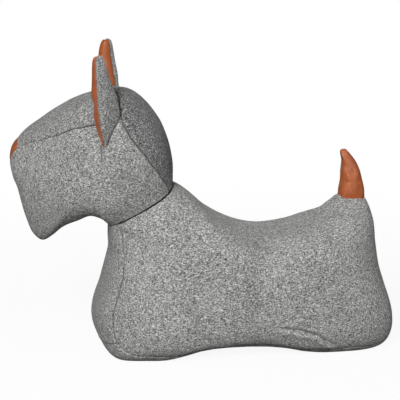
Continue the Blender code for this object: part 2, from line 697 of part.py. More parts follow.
def build_tail(maker, body_cutter):
    """Two leather halves over wadding, standing on the felt stump."""
    front, rear, tip = TAIL_FRONT, TAIL_REAR, TAIL_TIP
    outline = (axis_point(front, (0.1, -1), TAIL_ROOT), front, bowed(front, tip, 0.4, 0.0),
               bowed(front, tip, 0.75, TAIL_FRONT_BOW), axis_point(tip, (-1, -0.5), TAIL_TIP_RADIUS), tip,
               axis_point(tip, (1, -0.5), TAIL_TIP_RADIUS), bowed(tip, rear, 0.35, TAIL_REAR_BOW),
               bowed(tip, rear, 0.7, TAIL_REAR_BOW * 0.75), rear, axis_point(rear, (-0.1, -1), TAIL_ROOT))

    def half_width(x, z):
        return np.interp(z, (front[1], tip[1]), (TAIL_HALF_WIDTH, TAIL_TIP_HALF_WIDTH))

    form = Form(outline, TAIL_CENTRE, half_width, everywhere(TAIL_FULLNESS))
    turns = evenly(form, 0.0, TWO_PI - 1e-6, SMALL_TURNS)[:-1]
    inside = solid(form, turns, LEATHER + STUFFING_GAP, SMALL_RINGS[:-2], WADDING_REACH)
    pieces = [maker.stuffing("tail_filling", inside, white_wadding("tail_filling"))]
    for name, side in (("tail_left", -1), ("tail_right", 1)):
        pieces.append(maker.stuffing(name, shell(form, side, turns, LEATHER), brown_leather(name)))
    for piece in pieces:
        shape_with(piece, "DIFFERENCE", body_cutter)


def stand_on_origin(root, parts):
    """Move the dog so that the middle of its footprint is at the origin and it stands on z = 0."""
    bpy.context.view_layer.update()
    graph = bpy.context.evaluated_depsgraph_get()
    corners = []
    for obj in parts.objects:
        if obj.type == "MESH":
            shaped = obj.evaluated_get(graph)
            corners += [shaped.matrix_world @ vertex.co for vertex in shaped.data.vertices]
    corners = np.array(corners)
    low, high = corners.min(axis=0), corners.max(axis=0)
    root.empty.location = (-(low[0] + high[0]) / 2, -(low[1] + high[1]) / 2, -low[2])


def main():
    for obj in list(bpy.data.objects):
        bpy.data.objects.remove(obj, do_unlink=True)
    parts = bpy.data.collections.new("dog_door_stop")
    cutters = bpy.data.collections.new("cutters")
    for collection in (parts, cutters):
        bpy.context.scene.collection.children.link(collection)

    root = Maker("dog_place", parts, cutters, Matrix.Identity(4))
    body_cutter = build_body(root)
    pivot = Vector((NECK_CENTRE[0], 0.0, NECK_CENTRE[1]))
    axis = Vector((NECK_UP[0], 0.0, NECK_UP[1]))
    turn = Matrix.Translation(pivot * MM) @ Matrix.Rotation(HEAD_TURN, 4, axis)
    head = Maker("head_place", parts, cutters, turn, root.empty, origin=pivot)
    head_cutter = build_head(head)
    build_ear("left", LEFT_EAR, -1, parts, cutters, head, pivot, head_cutter)
    build_ear("right", RIGHT_EAR, 1, parts, cutters, head, pivot, head_cutter)
    build_tail(root, body_cutter)
    stand_on_origin(root, parts)


main()
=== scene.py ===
"""Looks of a door stop: a stuffed terrier in heathered grey felt with leather ears, nose and tail.

Lengths are in millimetres until a mesh is made. x runs along the dog with the nose at -x, z is up
and y is across. The head is drawn straight and then turned on the neck seam.
"""

from __future__ import annotations

import logging
import math
from dataclasses import dataclass, field
from enum import Enum
from functools import partial
from typing import Callable, Sequence

import bmesh
import bpy
import numpy as np
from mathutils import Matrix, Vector, noise
from mathutils.bvhtree import BVHTree


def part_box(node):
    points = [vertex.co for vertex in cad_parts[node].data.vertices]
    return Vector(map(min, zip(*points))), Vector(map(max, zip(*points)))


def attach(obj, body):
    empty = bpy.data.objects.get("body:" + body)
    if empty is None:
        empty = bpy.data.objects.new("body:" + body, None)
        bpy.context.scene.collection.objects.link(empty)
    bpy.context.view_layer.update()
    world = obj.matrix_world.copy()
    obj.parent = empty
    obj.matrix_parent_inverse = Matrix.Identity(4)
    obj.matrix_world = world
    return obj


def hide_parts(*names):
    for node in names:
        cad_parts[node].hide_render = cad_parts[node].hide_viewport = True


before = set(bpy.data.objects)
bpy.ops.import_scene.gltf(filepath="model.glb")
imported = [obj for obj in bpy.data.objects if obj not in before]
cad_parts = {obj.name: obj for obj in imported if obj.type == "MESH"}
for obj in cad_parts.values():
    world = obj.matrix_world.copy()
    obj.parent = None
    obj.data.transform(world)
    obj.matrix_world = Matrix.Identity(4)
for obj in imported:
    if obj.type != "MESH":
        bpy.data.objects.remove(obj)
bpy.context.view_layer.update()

log = logging.getLogger("dog_door_stop")

MM = 0.001
TURN = 2 * math.pi

# Least divisor, and the length that counts as none
GUARD = 1e-9
TOUCH = 1e-6

# Samples and steps of the searches on a stuffed form
SOFT_SAMPLES = 360
EVEN_SAMPLES = 4000
CUT_SAMPLES = 2001
CUT_LINES = 9
REACH_STEPS = 14
REACH_EASE = 0.7
HALF_STEPS = 8
NECK_SEARCH = math.radians(42)

# Panels: samples, least rows, and the share of a panel that the roll of its seams may take
SIDE_SAMPLES = 181
ACROSS_SAMPLES = 141
SIDE_ROWS = 6
STRIP_ROWS = 5
SIDE_ROOM = 0.3
STRIP_ROOM = 0.35
SIDE_MARGIN = 0.1

# The slit takes at most one part in this many of a roll's radius
SLIT_PARTS = 3

# Rings of the closed cover for the cloth, and the turn of the first one in degrees
COVER_RINGS = 26
COVER_FIRST = 3

# Depth from which a seam's pull is uneven
PUCKER_FROM = 0.03

# A direction that no stitch runs along
TUBE_ACROSS = (0.31, 0.95, 0.05)

WHITE = (1.0, 1.0, 1.0, 1.0)

Array = np.ndarray
Socket = bpy.types.NodeSocket
Point = tuple[float, float]
Place = tuple[float, float, float]
OutlinePoints = Sequence[Point]
Depth = Callable[[Array], Array]
Mesh = tuple[Array, list]
Stops = Sequence[tuple[float, Place]]
Seam = Sequence[tuple[Point, float]]


class Side(Enum):
    """The two sides of the dog. The camera looks at the left one."""

    LEFT = -1
    RIGHT = 1

    @property
    def word(self) -> str:
        """The side's name in piece names."""
        return self.name.lower()


class Part(Enum):
    """The two forms that the neck seam joins, by the side of the seam that each lies on."""

    BODY = -1
    HEAD = 1

    @property
    def other(self) -> "Part":
        """The part on the far side of the seam."""
        return Part(-self.value)


class Slot(Enum):
    """Material slots of the record."""

    FELT = "felt"
    LEATHER = "leather"
    WADDING = "wadding"
    COTTON = "cotton"


# Curves and stuffed forms


def closed_curve(points: OutlinePoints, steps: int = 24) -> Array:
    """Smooth closed curve through points.

    Args:
        points: corners of the outline, in order round it.
        steps: points of the curve for each corner.

    Returns:
        Points of the curve, one a row.
    """
    here = np.array(points, float)
    before, after, beyond = (np.roll(here, shift, axis=0)[:, None] for shift in (1, -1, -2))
    here = here[:, None]
    t = (np.arange(steps) / steps)[None, :, None]
    curve = here + 0.5 * t * (after - before)
    curve = curve + t**2 * (before - 2.5 * here + 2 * after - 0.5 * beyond)
    curve = curve + t**3 * (1.5 * (here - after) + 0.5 * (beyond - before))
    return curve.reshape(-1, 2)


def everywhere(value: float) -> Callable[..., Array]:
    """Function that gives the same value everywhere."""
    return lambda first, *others: np.full_like(first, value)


def bowed(start: Sequence[float], end: Sequence[float], share: float, bow: float) -> Point:
    """Point between two points of a plane, pushed to the left of the way between them."""
    along = np.subtract(end, start)
    left = np.array([-along[1], along[0]]) / np.linalg.norm(along)
    return tuple(np.asarray(start) + share * along + bow * left)


def smoothstep(value: Array, low: float, high: float) -> Array:
    """Smooth rise from 0 at low to 1 at high."""
    t = np.clip((value - low) / (high - low), 0, 1)
    return t * t * (3 - 2 * t)


def lengths_of(curves: Array) -> Array:
    """Length of each curve, from points as (curve, sample, axis)."""
    return np.linalg.norm(np.diff(curves, axis=1), axis=2).sum(axis=1)


def quads_of(lines: Array) -> Array:
    """Quads between the rows and columns of a grid of point numbers."""
    return np.stack([lines[:-1, :-1], lines[1:, :-1], lines[1:, 1:], lines[:-1, 1:]], axis=-1)


def linked(name: str, data: bpy.types.ID) -> bpy.types.Object:
    """New object in the scene."""
    obj = bpy.data.objects.new(name, data)
    bpy.context.scene.collection.objects.link(obj)
    return obj


@dataclass
class NeckCut:
    """The plane of the neck seam, seen from the side."""

    centre: Point = (-58.2, 131.8)
    length: float = 64.4
    tilt: float = math.radians(29.1)
    head_turn: float = math.radians(-14.0)

    @property
    def along(self) -> Array:
        """Direction along the seam, towards the back."""
        return np.array([math.cos(self.tilt), math.sin(self.tilt)])

    @property
    def up(self) -> Array:
        """Direction from the body to the head."""
        return np.array([-math.sin(self.tilt), math.cos(self.tilt)])

    @property
    def back(self) -> Point:
        """Rear end of the seam."""
        return tuple(np.array(self.centre) + self.along * self.length / 2)

    @property
    def front(self) -> Point:
        """Front end of the seam."""
        return tuple(np.array(self.centre) - self.along * self.length / 2)

    @property
    def origin(self) -> Array:
        """Centre of the seam in space."""
        return np.array([self.centre[0], 0.0, self.centre[1]])

    @property
    def axes(self) -> Array:
        """Axes of the neck in space, one a row: along the seam, across and up."""
        along, up = self.along, self.up
        return np.array([(along[0], 0.0, along[1]), (0.0, 1.0, 0.0), (up[0], 0.0, up[1])])

    def turned(self, points: Array) -> Array:
        """Points of the head, turned on the neck seam."""
        axis = self.axes[2]
        arm = points - self.origin
        cos, sin = math.cos(self.head_turn), math.sin(self.head_turn)
        return self.origin + arm * cos + np.cross(axis, arm) * sin + np.outer(arm @ axis, axis) * (1 - cos)


@dataclass
class StuffedForm:
    """A stuffed form around the plane y = 0, in polar coordinates about a centre.

    The half width falls from its full value at the centre to nothing at the outline, and
    fullness is the power of that fall: 2 is round, 5 is nearly square.
    """

    outline: OutlinePoints
    centre: Point
    half_width: Callable[[Array, Array], Array]
    fullness: Depth
    cut: NeckCut | None = None
    keep: Part = Part.HEAD
    rise: Callable[[Array, Array, Array], Array] | None = None
    skew: float = 0.0
    floor: float | None = None
    soft_waves: int = 3
    angles: Array = field(init=False)
    radii: Array = field(init=False)
    around: Array = field(init=False)
    soft: Array = field(init=False)

    def __post_init__(self) -> None:
        """Work out the outline in polar coordinates, and its soft version for the middle of the sides."""
        curve = closed_curve(self.outline) - np.array(self.centre)
        angle = np.arctan2(curve[:, 1], curve[:, 0]) % TURN
        order = np.argsort(angle)
        self.angles = angle[order]
        self.radii = np.hypot(curve[:, 0], curve[:, 1])[order]
        self.around = np.linspace(0, TURN, SOFT_SAMPLES, endpoint=False)
        waves = np.fft.rfft(np.interp(self.around, self.angles, self.radii, period=TURN))
        waves[self.soft_waves + 1:] = 0
        self.soft = np.fft.irfft(waves, len(self.around))

    @property
    def middle(self) -> Array:
        """The centre in space."""
        return np.array([self.centre[0], 0.0, self.centre[1]])

    def angle_of(self, point: Sequence[float]) -> float:
        """Angle of a point of the plane, seen from the centre."""
        return math.atan2(point[1] - self.centre[1], point[0] - self.centre[0]) % TURN

    def radius(self, angle: Array) -> Array:
        """Distance from the centre to the outline."""
        return np.interp(angle, self.angles, self.radii, period=TURN)

    def reach(self, angle: Array, share: Array) -> Array:
        """Distance from the centre; the outline's small waves die out towards the middle."""
        soft = np.interp(angle, self.around, self.soft, period=TURN)
        return share * (soft + (self.radius(angle) - soft) * share**2)

    def share_of(self, angle: Array, distance: Array) -> Array:
        """Share of the way out at a distance from the centre."""
        share = distance / self.radius(angle)
        for _ in range(REACH_STEPS):
            share = share * (distance / np.maximum(self.reach(angle, share), GUARD)) ** REACH_EASE
        return share

    def flat(self, angle: Array, share: Array) -> tuple[Array, Array]:
        """Place of points as seen from the side, as x and z."""
        reach = self.reach(angle, share)
        return self.centre[0] + reach * np.cos(angle), self.centre[1] + reach * np.sin(angle)

    def surface(self, angle: Array, share: Array, side: Array | int) -> Array:
        """Surface points.

        Args:
            angle: angles seen from the centre.
            share: shares of the way out to the outline.
            side: -1 or 1 for each point, or for all of them.

        Returns:
            Points, with x, y and z on the last axis.
        """
        x, z = self.flat(angle, share)
        power = self.fullness(angle)
        swell = np.clip(1 - share**power, 0, 1) ** (1 / power)
        y = side * (1 + self.skew * side) * self.half_width(x, z) * swell
        if self.rise:
            z = z + self.rise(x, y, z)
        if self.floor is not None:
            z = np.maximum(z, self.floor)
        return np.stack(np.broadcast_arrays(x, y, z), axis=-1)

    def share_at(self, angle: Array, half: Array) -> Array:
        """Share of the way out at which the surface is a given distance from the mid-plane."""
        share = np.ones_like(angle)
        power = self.fullness(angle)
        for _ in range(HALF_STEPS):
            full = self.half_width(*self.flat(angle, share))
            share = np.clip(1 - (half / full) ** power, 0, 1) ** (1 / power)
        return share

    def cut_share(self, angle: Array) -> Array:
        """Share of the way out at which the ray meets the neck cut; infinite where it doesn't."""
        away = -self.keep.value * self.cut.up
        distance = np.dot(np.array(self.cut.centre) - self.centre, away)
        slope = away[0] * np.cos(angle) + away[1] * np.sin(angle)
        reach = np.clip(distance / np.maximum(slope, TOUCH), 0, 2 * self.radius(angle))
        return np.where(slope > TOUCH, self.share_of(angle, reach), np.inf)

    def cut_angle(self, start: float, end: float, half: Depth) -> float:
        """Angle between two angles at which a line on the surface reaches the neck cut."""
        angle = np.linspace(start, end, CUT_SAMPLES)
        room = self.cut_share(angle) - self.share_at(angle, half(angle))
        return float(angle[np.nonzero(np.diff(np.sign(room)))[0][0]])

    def cut_line(self, half: Depth) -> Depth:
        """Angle beyond the neck's middle at which a panel meets the cut, by the share of its half width."""
        shares = np.linspace(0, 1, CUT_LINES)
        neck = self.angle_of(self.cut.centre)
        angles = [self.cut_angle(neck, neck + NECK_SEARCH, lambda angle, part=share: half(angle) * part)
                  for share in shares]
        return lambda share: np.interp(share, shares, angles)

    def stations(self, *pairs: tuple[Sequence[float], float]) -> Depth:
        """A measure by the angle, from points of the outline and the measure at each."""
        angles = np.array([self.angle_of(point) for point, _ in pairs])
        values = np.array([value for _, value in pairs], float)
        order = np.argsort(angles)
        return lambda angle: np.interp(angle, angles[order], values[order], period=TURN)

    def evenly(self, start: float, end: float, pitch: float) -> Array:
        """Angles from start to end, about a pitch apart along the outline."""
        if end <= start:
            end += TURN
        angle = np.linspace(start, end, EVEN_SAMPLES)
        reach = self.radius(angle)
        points = np.stack([reach * np.cos(angle), reach * np.sin(angle)], axis=-1)
        length = np.concatenate([[0], np.cumsum(np.linalg.norm(np.diff(points, axis=0), axis=1))])
        count = max(2, round(length[-1] / pitch))
        return np.interp(np.linspace(0, length[-1], count + 1), length, angle)


def closed_cover(form: StuffedForm, pitch: float) -> Mesh:
    """Closed mesh all round a form, also over its neck cut.

    Args:
        form: the stuffed form.
        pitch: distance between its points.

    Returns:
        Points and faces.
    """
    angles = form.evenly(0.0, TURN - TOUCH, pitch)[:-1]
    limit = np.minimum(1.0, form.cut_share(angles))
    turns = np.radians(np.linspace(COVER_FIRST, 90, COVER_RINGS))
    shares = limit[:, None] * np.sin(turns) ** (2 / form.fullness(angles))[:, None]
    points, faces, rims = [], [], []
    for side in (-1, 1):
        first = sum(len(block) for block in points)
        middle = form.surface(np.zeros(1), np.zeros(1), side)
        rings = form.surface(angles[:, None], shares, side).transpose(1, 0, 2).reshape(-1, 3)
        points += [middle, rings]
        lines = first + 1 + np.arange(len(rings)).reshape(len(turns), -1)
        lines = np.concatenate([lines, lines[:, :1]], axis=1)
        faces += [(first, int(a), int(b)) for a, b in zip(lines[0], lines[0][1:])]
        faces += quads_of(lines).reshape(-1, 4).tolist()
        rims.append(lines[-1])
    faces += [tuple(int(i) for i in quad) for quad in zip(rims[0], rims[0][1:], rims[1][1:], rims[1])]
    return np.concatenate(points), faces


# Panels


@dataclass(frozen=True)
class SewnEdge:
    """How a panel rolls into its seam and sinks a little beside it."""

    radius: float = 1.6
    rows: int = 5
    slit: float = 0.26
    tuck: float = 2.4
    dip: float = 0.6
    dip_reach: float = 6.0
    pucker: float = 0.6
    pucker_pitch: float = 9.0

    def rows_at(self, room: float) -> Array:
        """Distances from the seam of the rows of the rolled edge, where it has no more than some room."""
        radius = min(self.radius, room)
        roll = 1 - np.sin(np.linspace(math.pi / 2, 0, self.rows + 1))
        return np.concatenate([[0.0], min(self.slit, radius / SLIT_PARTS) + radius * roll])

    def depth(self, distance: Array, room: Array | float, firm: Array | float = 1.0) -> Array:
        """How deep the panel lies at a distance from the seam.

        Args:
            distance: distances from the seam.
            room: largest radius that the panel has room for.
            firm: how plainly the seam shows, 1 for fully.

        Returns:
            Depths under the stuffed form's surface.
        """
        radius = np.maximum(np.minimum(self.radius, room), TOUCH)
        slit = np.minimum(self.slit, radius / SLIT_PARTS)
        share = np.clip(1 - (distance - slit) / radius, 0, 1)
        roll = radius * (1 - np.sqrt(1 - share**2))
        tuck = self.tuck * radius / self.radius * (distance < slit / 2)
        sink = self.dip * radius / self.radius * np.exp(-((distance / self.dip_reach) ** 2))
        return firm * (roll + tuck + sink)


NECK_EDGE = SewnEdge(radius=1.0, slit=0.15, tuck=1.4, dip=0.35, dip_reach=4.0)


@dataclass
class Patch:
    """A panel as a grid of points, with their distances from its seams and their depth."""

    points: Array
    seam_distance: Array
    depth: Array
    ring: bool
    middle: Array

    def normals(self) -> Array:
        """Outward unit normals of the grid."""
        down = np.gradient(self.points, axis=0)
        if self.ring:
            across = np.roll(self.points, -1, axis=1) - np.roll(self.points, 1, axis=1)
        else:
            across = np.gradient(self.points, axis=1)
        normal = np.cross(down, across)
        if np.sum(normal * (self.points - self.middle)) < 0:
            normal = -normal
        length = np.linalg.norm(normal, axis=-1, keepdims=True)
        normal = normal / np.maximum(length, GUARD)
        if self.ring:
            mean = normal[1].mean(axis=0)
            normal[0] = mean / np.linalg.norm(mean)
        return normal

    def faces(self) -> list[list[int]]:
        """Quads of the grid, facing outwards."""
        rows, columns = self.points.shape[:2]
        lines = np.arange(rows * columns).reshape(rows, columns)
        if self.ring:
            lines = np.concatenate([lines, lines[:, :1]], axis=1)
        quads = quads_of(lines)
        corners = self.points.reshape(-1, 3)[quads.reshape(-1, 4)]
        normal = np.cross(corners[:, 2] - corners[:, 0], corners[:, 3] - corners[:, 1])
        if np.sum(normal * (corners.mean(axis=1) - self.middle)) < 0:
            quads = quads[..., ::-1]
        return quads.reshape(-1, 4).tolist()

    def edge_points(self) -> Array:
        """Points that lie on the panel's seams."""
        return self.points[self.seam_distance < TOUCH]


def respaced(curves: Array, places: Callable[[float], Array]) -> tuple[Array, Array]:
    """New points along curves.

    Args:
        curves: points, as (curve, sample, axis).
        places: gives the distances of the new points along a curve from its length.

    Returns:
        The new points, and the distance of each along its curve.
    """
    steps = np.linalg.norm(np.diff(curves, axis=1), axis=2)
    along = np.concatenate([np.zeros((len(curves), 1)), np.cumsum(steps, axis=1)], axis=1)
    distances = np.stack([places(length) for length in along[:, -1]])
    points = np.empty((*distances.shape, 3))
    for row, (curve, length, distance) in enumerate(zip(curves, along, distances)):
        for axis in range(3):
            points[row, :, axis] = np.interp(distance, length, curve[:, axis])
    return points, distances


def side_patch(form: StuffedForm, side: int, angles: Array, half: Depth, edge: SewnEdge, pitch: float,
               firm: Depth = everywhere(1.0)) -> Patch:
    """Side panel, from the middle of the side out to its seams and the neck cut.

    Args:
        form: the stuffed form that it covers.
        side: -1 for the left, 1 for the right.
        angles: its columns, all the way round.
        half: half width of the panels across the mid-plane, by the angle.
        edge: how it rolls into its seams.
        pitch: distance between its rings.
        firm: how plainly its seams show, by the angle.

    Returns:
        The panel's grid, one ring a row.
    """
    limit = form.share_at(angles, half(angles) + SIDE_MARGIN)
    at_neck = np.zeros(len(angles), bool)
    if form.cut:
        cut = form.cut_share(angles)
        at_neck = cut < limit
        limit = np.minimum(limit, cut)
    turn = np.linspace(0, math.pi / 2, SIDE_SAMPLES)
    shares = limit[:, None] * np.sin(turn) ** (2 / form.fullness(angles))[:, None]
    curves = form.surface(angles[:, None], shares, side)
    inner = max(SIDE_ROWS, round(lengths_of(curves).max() / pitch))

    def places(length: float) -> Array:
        """Places of the rings along a line from the middle to the seam."""
        rows = length - edge.rows_at(SIDE_ROOM * length)[::-1]
        return np.concatenate([np.linspace(0, rows[0], inner), rows[1:]])

    points, distances = respaced(curves, places)
    points, distances = points.transpose(1, 0, 2), distances.T
    room = SIDE_ROOM * distances[-1]
    distances = distances[-1] - distances
    depth = np.where(at_neck, NECK_EDGE.depth(distances, room), edge.depth(distances, room, firm(angles)))
    return Patch(points, distances, depth, True, form.middle)


def strip_patch(form: StuffedForm, start: Depth, end: Depth, half: Depth, edge: SewnEdge, pitch: float,
                start_edge: SewnEdge | None = None, firm: Depth = everywhere(1.0)) -> Patch:
    """Panel across the mid-plane.

    Args:
        form: the stuffed form that it covers.
        start: first angle, by the share of the half width.
        end: last angle, by the share of the half width.
        half: half width of the panel, by the angle.
        edge: how it rolls into its seams.
        pitch: distance between its points.
        start_edge: how it rolls into the seam at its start, if not as into the others.
        firm: how plainly its seams show, by the angle.

    Returns:
        The panel's grid.
    """
    across = np.linspace(-1, 1, ACROSS_SAMPLES)
    first, last = start(np.abs(across)), end(np.abs(across))
    angle = first + (last - first) * np.linspace(0, 1, SIDE_SAMPLES)[:, None]
    width = half(angle) * np.abs(across)
    points = form.surface(angle, form.share_at(angle, width), np.sign(across))

    def spread(curves: Array) -> tuple[Array, Array]:
        """Curves with points a pitch apart and the rows of a rolled edge at both ends."""
        inner = max(STRIP_ROWS, round(lengths_of(curves).max() / pitch))

        def places(length: float) -> Array:
            """Places of the points along one curve."""
            rows = edge.rows_at(STRIP_ROOM * length)
            middle = np.linspace(rows[-1], length - rows[-1], inner)[1:-1]
            return np.concatenate([rows, middle, (length - rows)[::-1]])

        return respaced(curves, places)

    points, sideways = spread(points)
    points, lengthways = spread(points.transpose(1, 0, 2))
    points, lengthways = points.transpose(1, 0, 2), lengthways.T
    along = lengthways / lengthways[-1:]
    old = np.linspace(0, 1, sideways.shape[0])
    totals = np.interp(along, old, sideways[:, -1])
    sideways = np.stack([np.interp(along[:, i], old, sideways[:, i]) for i in range(along.shape[1])], axis=1)
    from_side = np.minimum(sideways, np.abs(totals - sideways))
    from_side[:, [0, -1]] = 0
    from_end = lengthways[-1:] - lengthways
    room = STRIP_ROOM * totals
    plain = firm(first.mean() + (last.mean() - first.mean()) * along)
    depths = (edge.depth(from_side, room, plain), edge.depth(from_end, room, plain),
              (start_edge or edge).depth(lengthways, room))
    distance = np.minimum(from_side, np.minimum(lengthways, from_end))
    return Patch(points, distance, np.maximum.reduce(depths), False, form.middle)


def tube(line: Array, radius: float, sides: int = 6) -> Mesh:
    """Closed tube along a line.

    Args:
        line: its points.
        radius: its radius.
        sides: corners of its section.

    Returns:
        Points and faces.
    """
    along = np.gradient(line, axis=0)
    along /= np.linalg.norm(along, axis=1, keepdims=True)
    first = np.cross(along, TUBE_ACROSS)
    first /= np.linalg.norm(first, axis=1, keepdims=True)
    second = np.cross(along, first)
    turn = (np.arange(sides) * TURN / sides)[:, None]
    rings = line[:, None] + radius * (np.cos(turn) * first[:, None] + np.sin(turn) * second[:, None])
    index = np.arange(len(line) * sides).reshape(len(line), sides)
    near, far = index[:-1], index[1:]
    quads = np.stack([near, np.roll(near, -1, axis=1), np.roll(far, -1, axis=1), far], axis=-1).reshape(-1, 4)
    return rings.reshape(-1, 3), [*map(tuple, quads.tolist()), tuple(index[0][::-1]), tuple(index[-1])]


@dataclass(frozen=True)
class Crease:
    """A soft pinch in the felt along a line, seen from the side."""

    line: OutlinePoints
    depth: float
    width: float
    lip: float = 0.55
    lip_place: float = 2.2
    lip_width: float = 1.6
    fade_power: float = 0.6

    def depth_at(self, points: Array) -> Array:
        """Depth of the pinch at points; the lip on its right stands up a little."""
        flat = points[..., None, [0, 2]]
        line = np.array(self.line, float)
        ways = np.diff(line, axis=0)
        lengths = np.linalg.norm(ways, axis=1)
        shares = np.clip(((flat - line[:-1]) * ways).sum(axis=-1) / lengths**2, 0, 1)
        off = flat - line[:-1] - shares[..., None] * ways
        distances = np.linalg.norm(off, axis=-1)
        sides = np.sign(ways[:, 0] * off[..., 1] - ways[:, 1] * off[..., 0])
        places = (np.cumsum(lengths) - lengths + shares * lengths) / lengths.sum()
        best = np.argmin(distances, axis=-1)[..., None]
        nearest, side, along = (np.take_along_axis(values, best, axis=-1)[..., 0]
                                for values in (distances, sides, places))
        fade = np.clip(4 * along * (1 - along), 0, 1) ** self.fade_power
        pinch = np.exp(-((nearest / self.width) ** 2))
        lip = np.exp(-(((side * nearest / self.width + self.lip_place) / self.lip_width) ** 2))
        return self.depth * fade * (pinch - self.lip * lip)


# Cloth


@dataclass(frozen=True)
class Inflation:
    """Cloth simulation that swells a stuffed cover between its seams."""

    voxel: float = 5.5
    cover_pitch: float = 5.0
    frames: int = 20
    cap: float = 3.5
    grip: float = 2.0
    seam_reach: float = 14.0
    settings: dict[str, float] = field(default_factory=lambda: {
        "quality": 6, "mass": 0.3, "tension_stiffness": 15, "compression_stiffness": 15, "shear_stiffness": 8,
        "bending_stiffness": 1.5, "uniform_pressure_force": 4.0})

    def run(self, name: str, form: StuffedForm, patches: Sequence[Patch], floor: float | None) -> "Swell":
        """Simulate the cover of a form.

        Args:
            name: name for the scratch objects.
            form: the stuffed form.
            patches: its panels, whose seams stay where they are.
            floor: height below which nothing moves, or None.

        Returns:
            How far the cover moves, from place to place.
        """
        points, faces = closed_cover(form, self.cover_pitch)
        seams = np.concatenate([patch.edge_points() for patch in patches])
        mesh = bpy.data.meshes.new(name)
        mesh.from_pydata(points * MM, [], faces)
        obj = linked(name, mesh)
        remesh = obj.modifiers.new("Remesh", "REMESH")
        remesh.mode = "VOXEL"
        remesh.voxel_size = self.voxel * MM
        graph = bpy.context.evaluated_depsgraph_get()
        even = bpy.data.meshes.new_from_object(obj.evaluated_get(graph))
        obj.modifiers.clear()
        obj.data = even
        rest = np.array([vertex.co[:] for vertex in even.vertices])
        held = obj.vertex_groups.new(name="held")
        tree = BVHTree.FromPolygons((seams * MM).tolist(), [(i, i, i) for i in range(len(seams))])
        for index, place in enumerate(rest):
            distance = tree.find_nearest(Vector(place))[3] / MM
            weight = 1 - float(smoothstep(np.array(distance), self.grip, self.seam_reach))
            if floor is not None and place[2] / MM < floor:
                weight = 1.0
            held.add([index], weight, "REPLACE")
        moves = self.capped(self.simulate(obj, rest) - rest)
        swell = Swell(rest, [tuple(face.vertices) for face in even.polygons], moves)
        bpy.data.objects.remove(obj)
        most = np.linalg.norm(moves, axis=1).max() / MM
        log.info("cloth %s: %d points, swells by %.1f mm at most", name, len(rest), most)
        return swell

    def simulate(self, obj: bpy.types.Object, rest: Array) -> Array:
        """Run the cloth on an object and give the places of its points at the end."""
        cloth = obj.modifiers.new("Cloth", "CLOTH")
        for key, value in self.settings.items():
            setattr(cloth.settings, key, value)
        cloth.settings.vertex_group_mass = "held"
        cloth.settings.use_pressure = True
        cloth.settings.effector_weights.gravity = 0.0
        cloth.collision_settings.use_collision = False
        cloth.point_cache.frame_start = 1
        cloth.point_cache.frame_end = self.frames
        scene = bpy.context.scene
        for number in range(1, self.frames + 1):
            scene.frame_set(number)
        graph = bpy.context.evaluated_depsgraph_get()
        shaped = obj.evaluated_get(graph).data
        moved = np.array([vertex.co[:] for vertex in shaped.vertices])
        scene.frame_set(1)
        return moved if len(moved) == len(rest) else rest

    def capped(self, moves: Array) -> Array:
        """Moves, none longer than the cap."""
        length = np.linalg.norm(moves, axis=1, keepdims=True)
        cap = self.cap * MM
        return moves * cap * np.tanh(length / cap) / np.maximum(length, GUARD)


@dataclass
class Swell:
    """How far a cover moves under its stuffing, known at the points of a simulated mesh."""

    rest: Array
    faces: list
    moves: Array
    least_gap: float = 1e-5

    def __post_init__(self) -> None:
        """Make the tree that finds the nearest place on the mesh."""
        self.tree = BVHTree.FromPolygons(self.rest.tolist(), self.faces)

    def at(self, points: Array) -> Array:
        """Moves at points, in millimetres.

        Args:
            points: points in millimetres, in an array of any shape.

        Returns:
            Moves, in an array of the same shape.
        """
        flat = points.reshape(-1, 3) * MM
        moves = np.zeros_like(flat)
        for index, place in enumerate(flat):
            nearest, _, face, _ = self.tree.find_nearest(Vector(place))
            corners = list(self.faces[face])
            gaps = np.linalg.norm(self.rest[corners] - np.array(nearest), axis=1)
            weights = 1 / np.maximum(gaps, self.least_gap)
            moves[index] = weights @ self.moves[corners] / weights.sum()
        return moves.reshape(points.shape) / MM


# Finishes


class Wire:
    """A number on a node's socket. Arithmetic on wires adds Math nodes to their material."""

    def __init__(self, sheet: "NodeSheet", socket: Socket) -> None:
        """Wrap a socket of a material."""
        self.sheet = sheet
        self.socket = socket

    def maths(self, operation: str, *values: "Wire | float") -> "Wire":
        """Result of a Math node."""
        return self.sheet.wire("ShaderNodeMath", "Value", dict(enumerate(values)), operation=operation)

    def __add__(self, other: "Wire | float") -> "Wire":
        """This plus the other."""
        return self.maths("ADD", self, other)

    def __sub__(self, other: "Wire | float") -> "Wire":
        """This minus the other."""
        return self.maths("SUBTRACT", self, other)

    def __rsub__(self, other: float) -> "Wire":
        """The other minus this."""
        return self.maths("SUBTRACT", other, self)

    def __mul__(self, other: "Wire | float") -> "Wire":
        """This times the other."""
        return self.maths("MULTIPLY", self, other)

    __radd__ = __add__
    __rmul__ = __mul__

    def rise(self, low: float, high: float) -> "Wire":
        """Smooth rise from 0 at low to 1 at high."""
        inputs = {"Value": self, "From Min": low, "From Max": high}
        return self.sheet.wire("ShaderNodeMapRange", "Result", inputs, interpolation_type="SMOOTHSTEP")


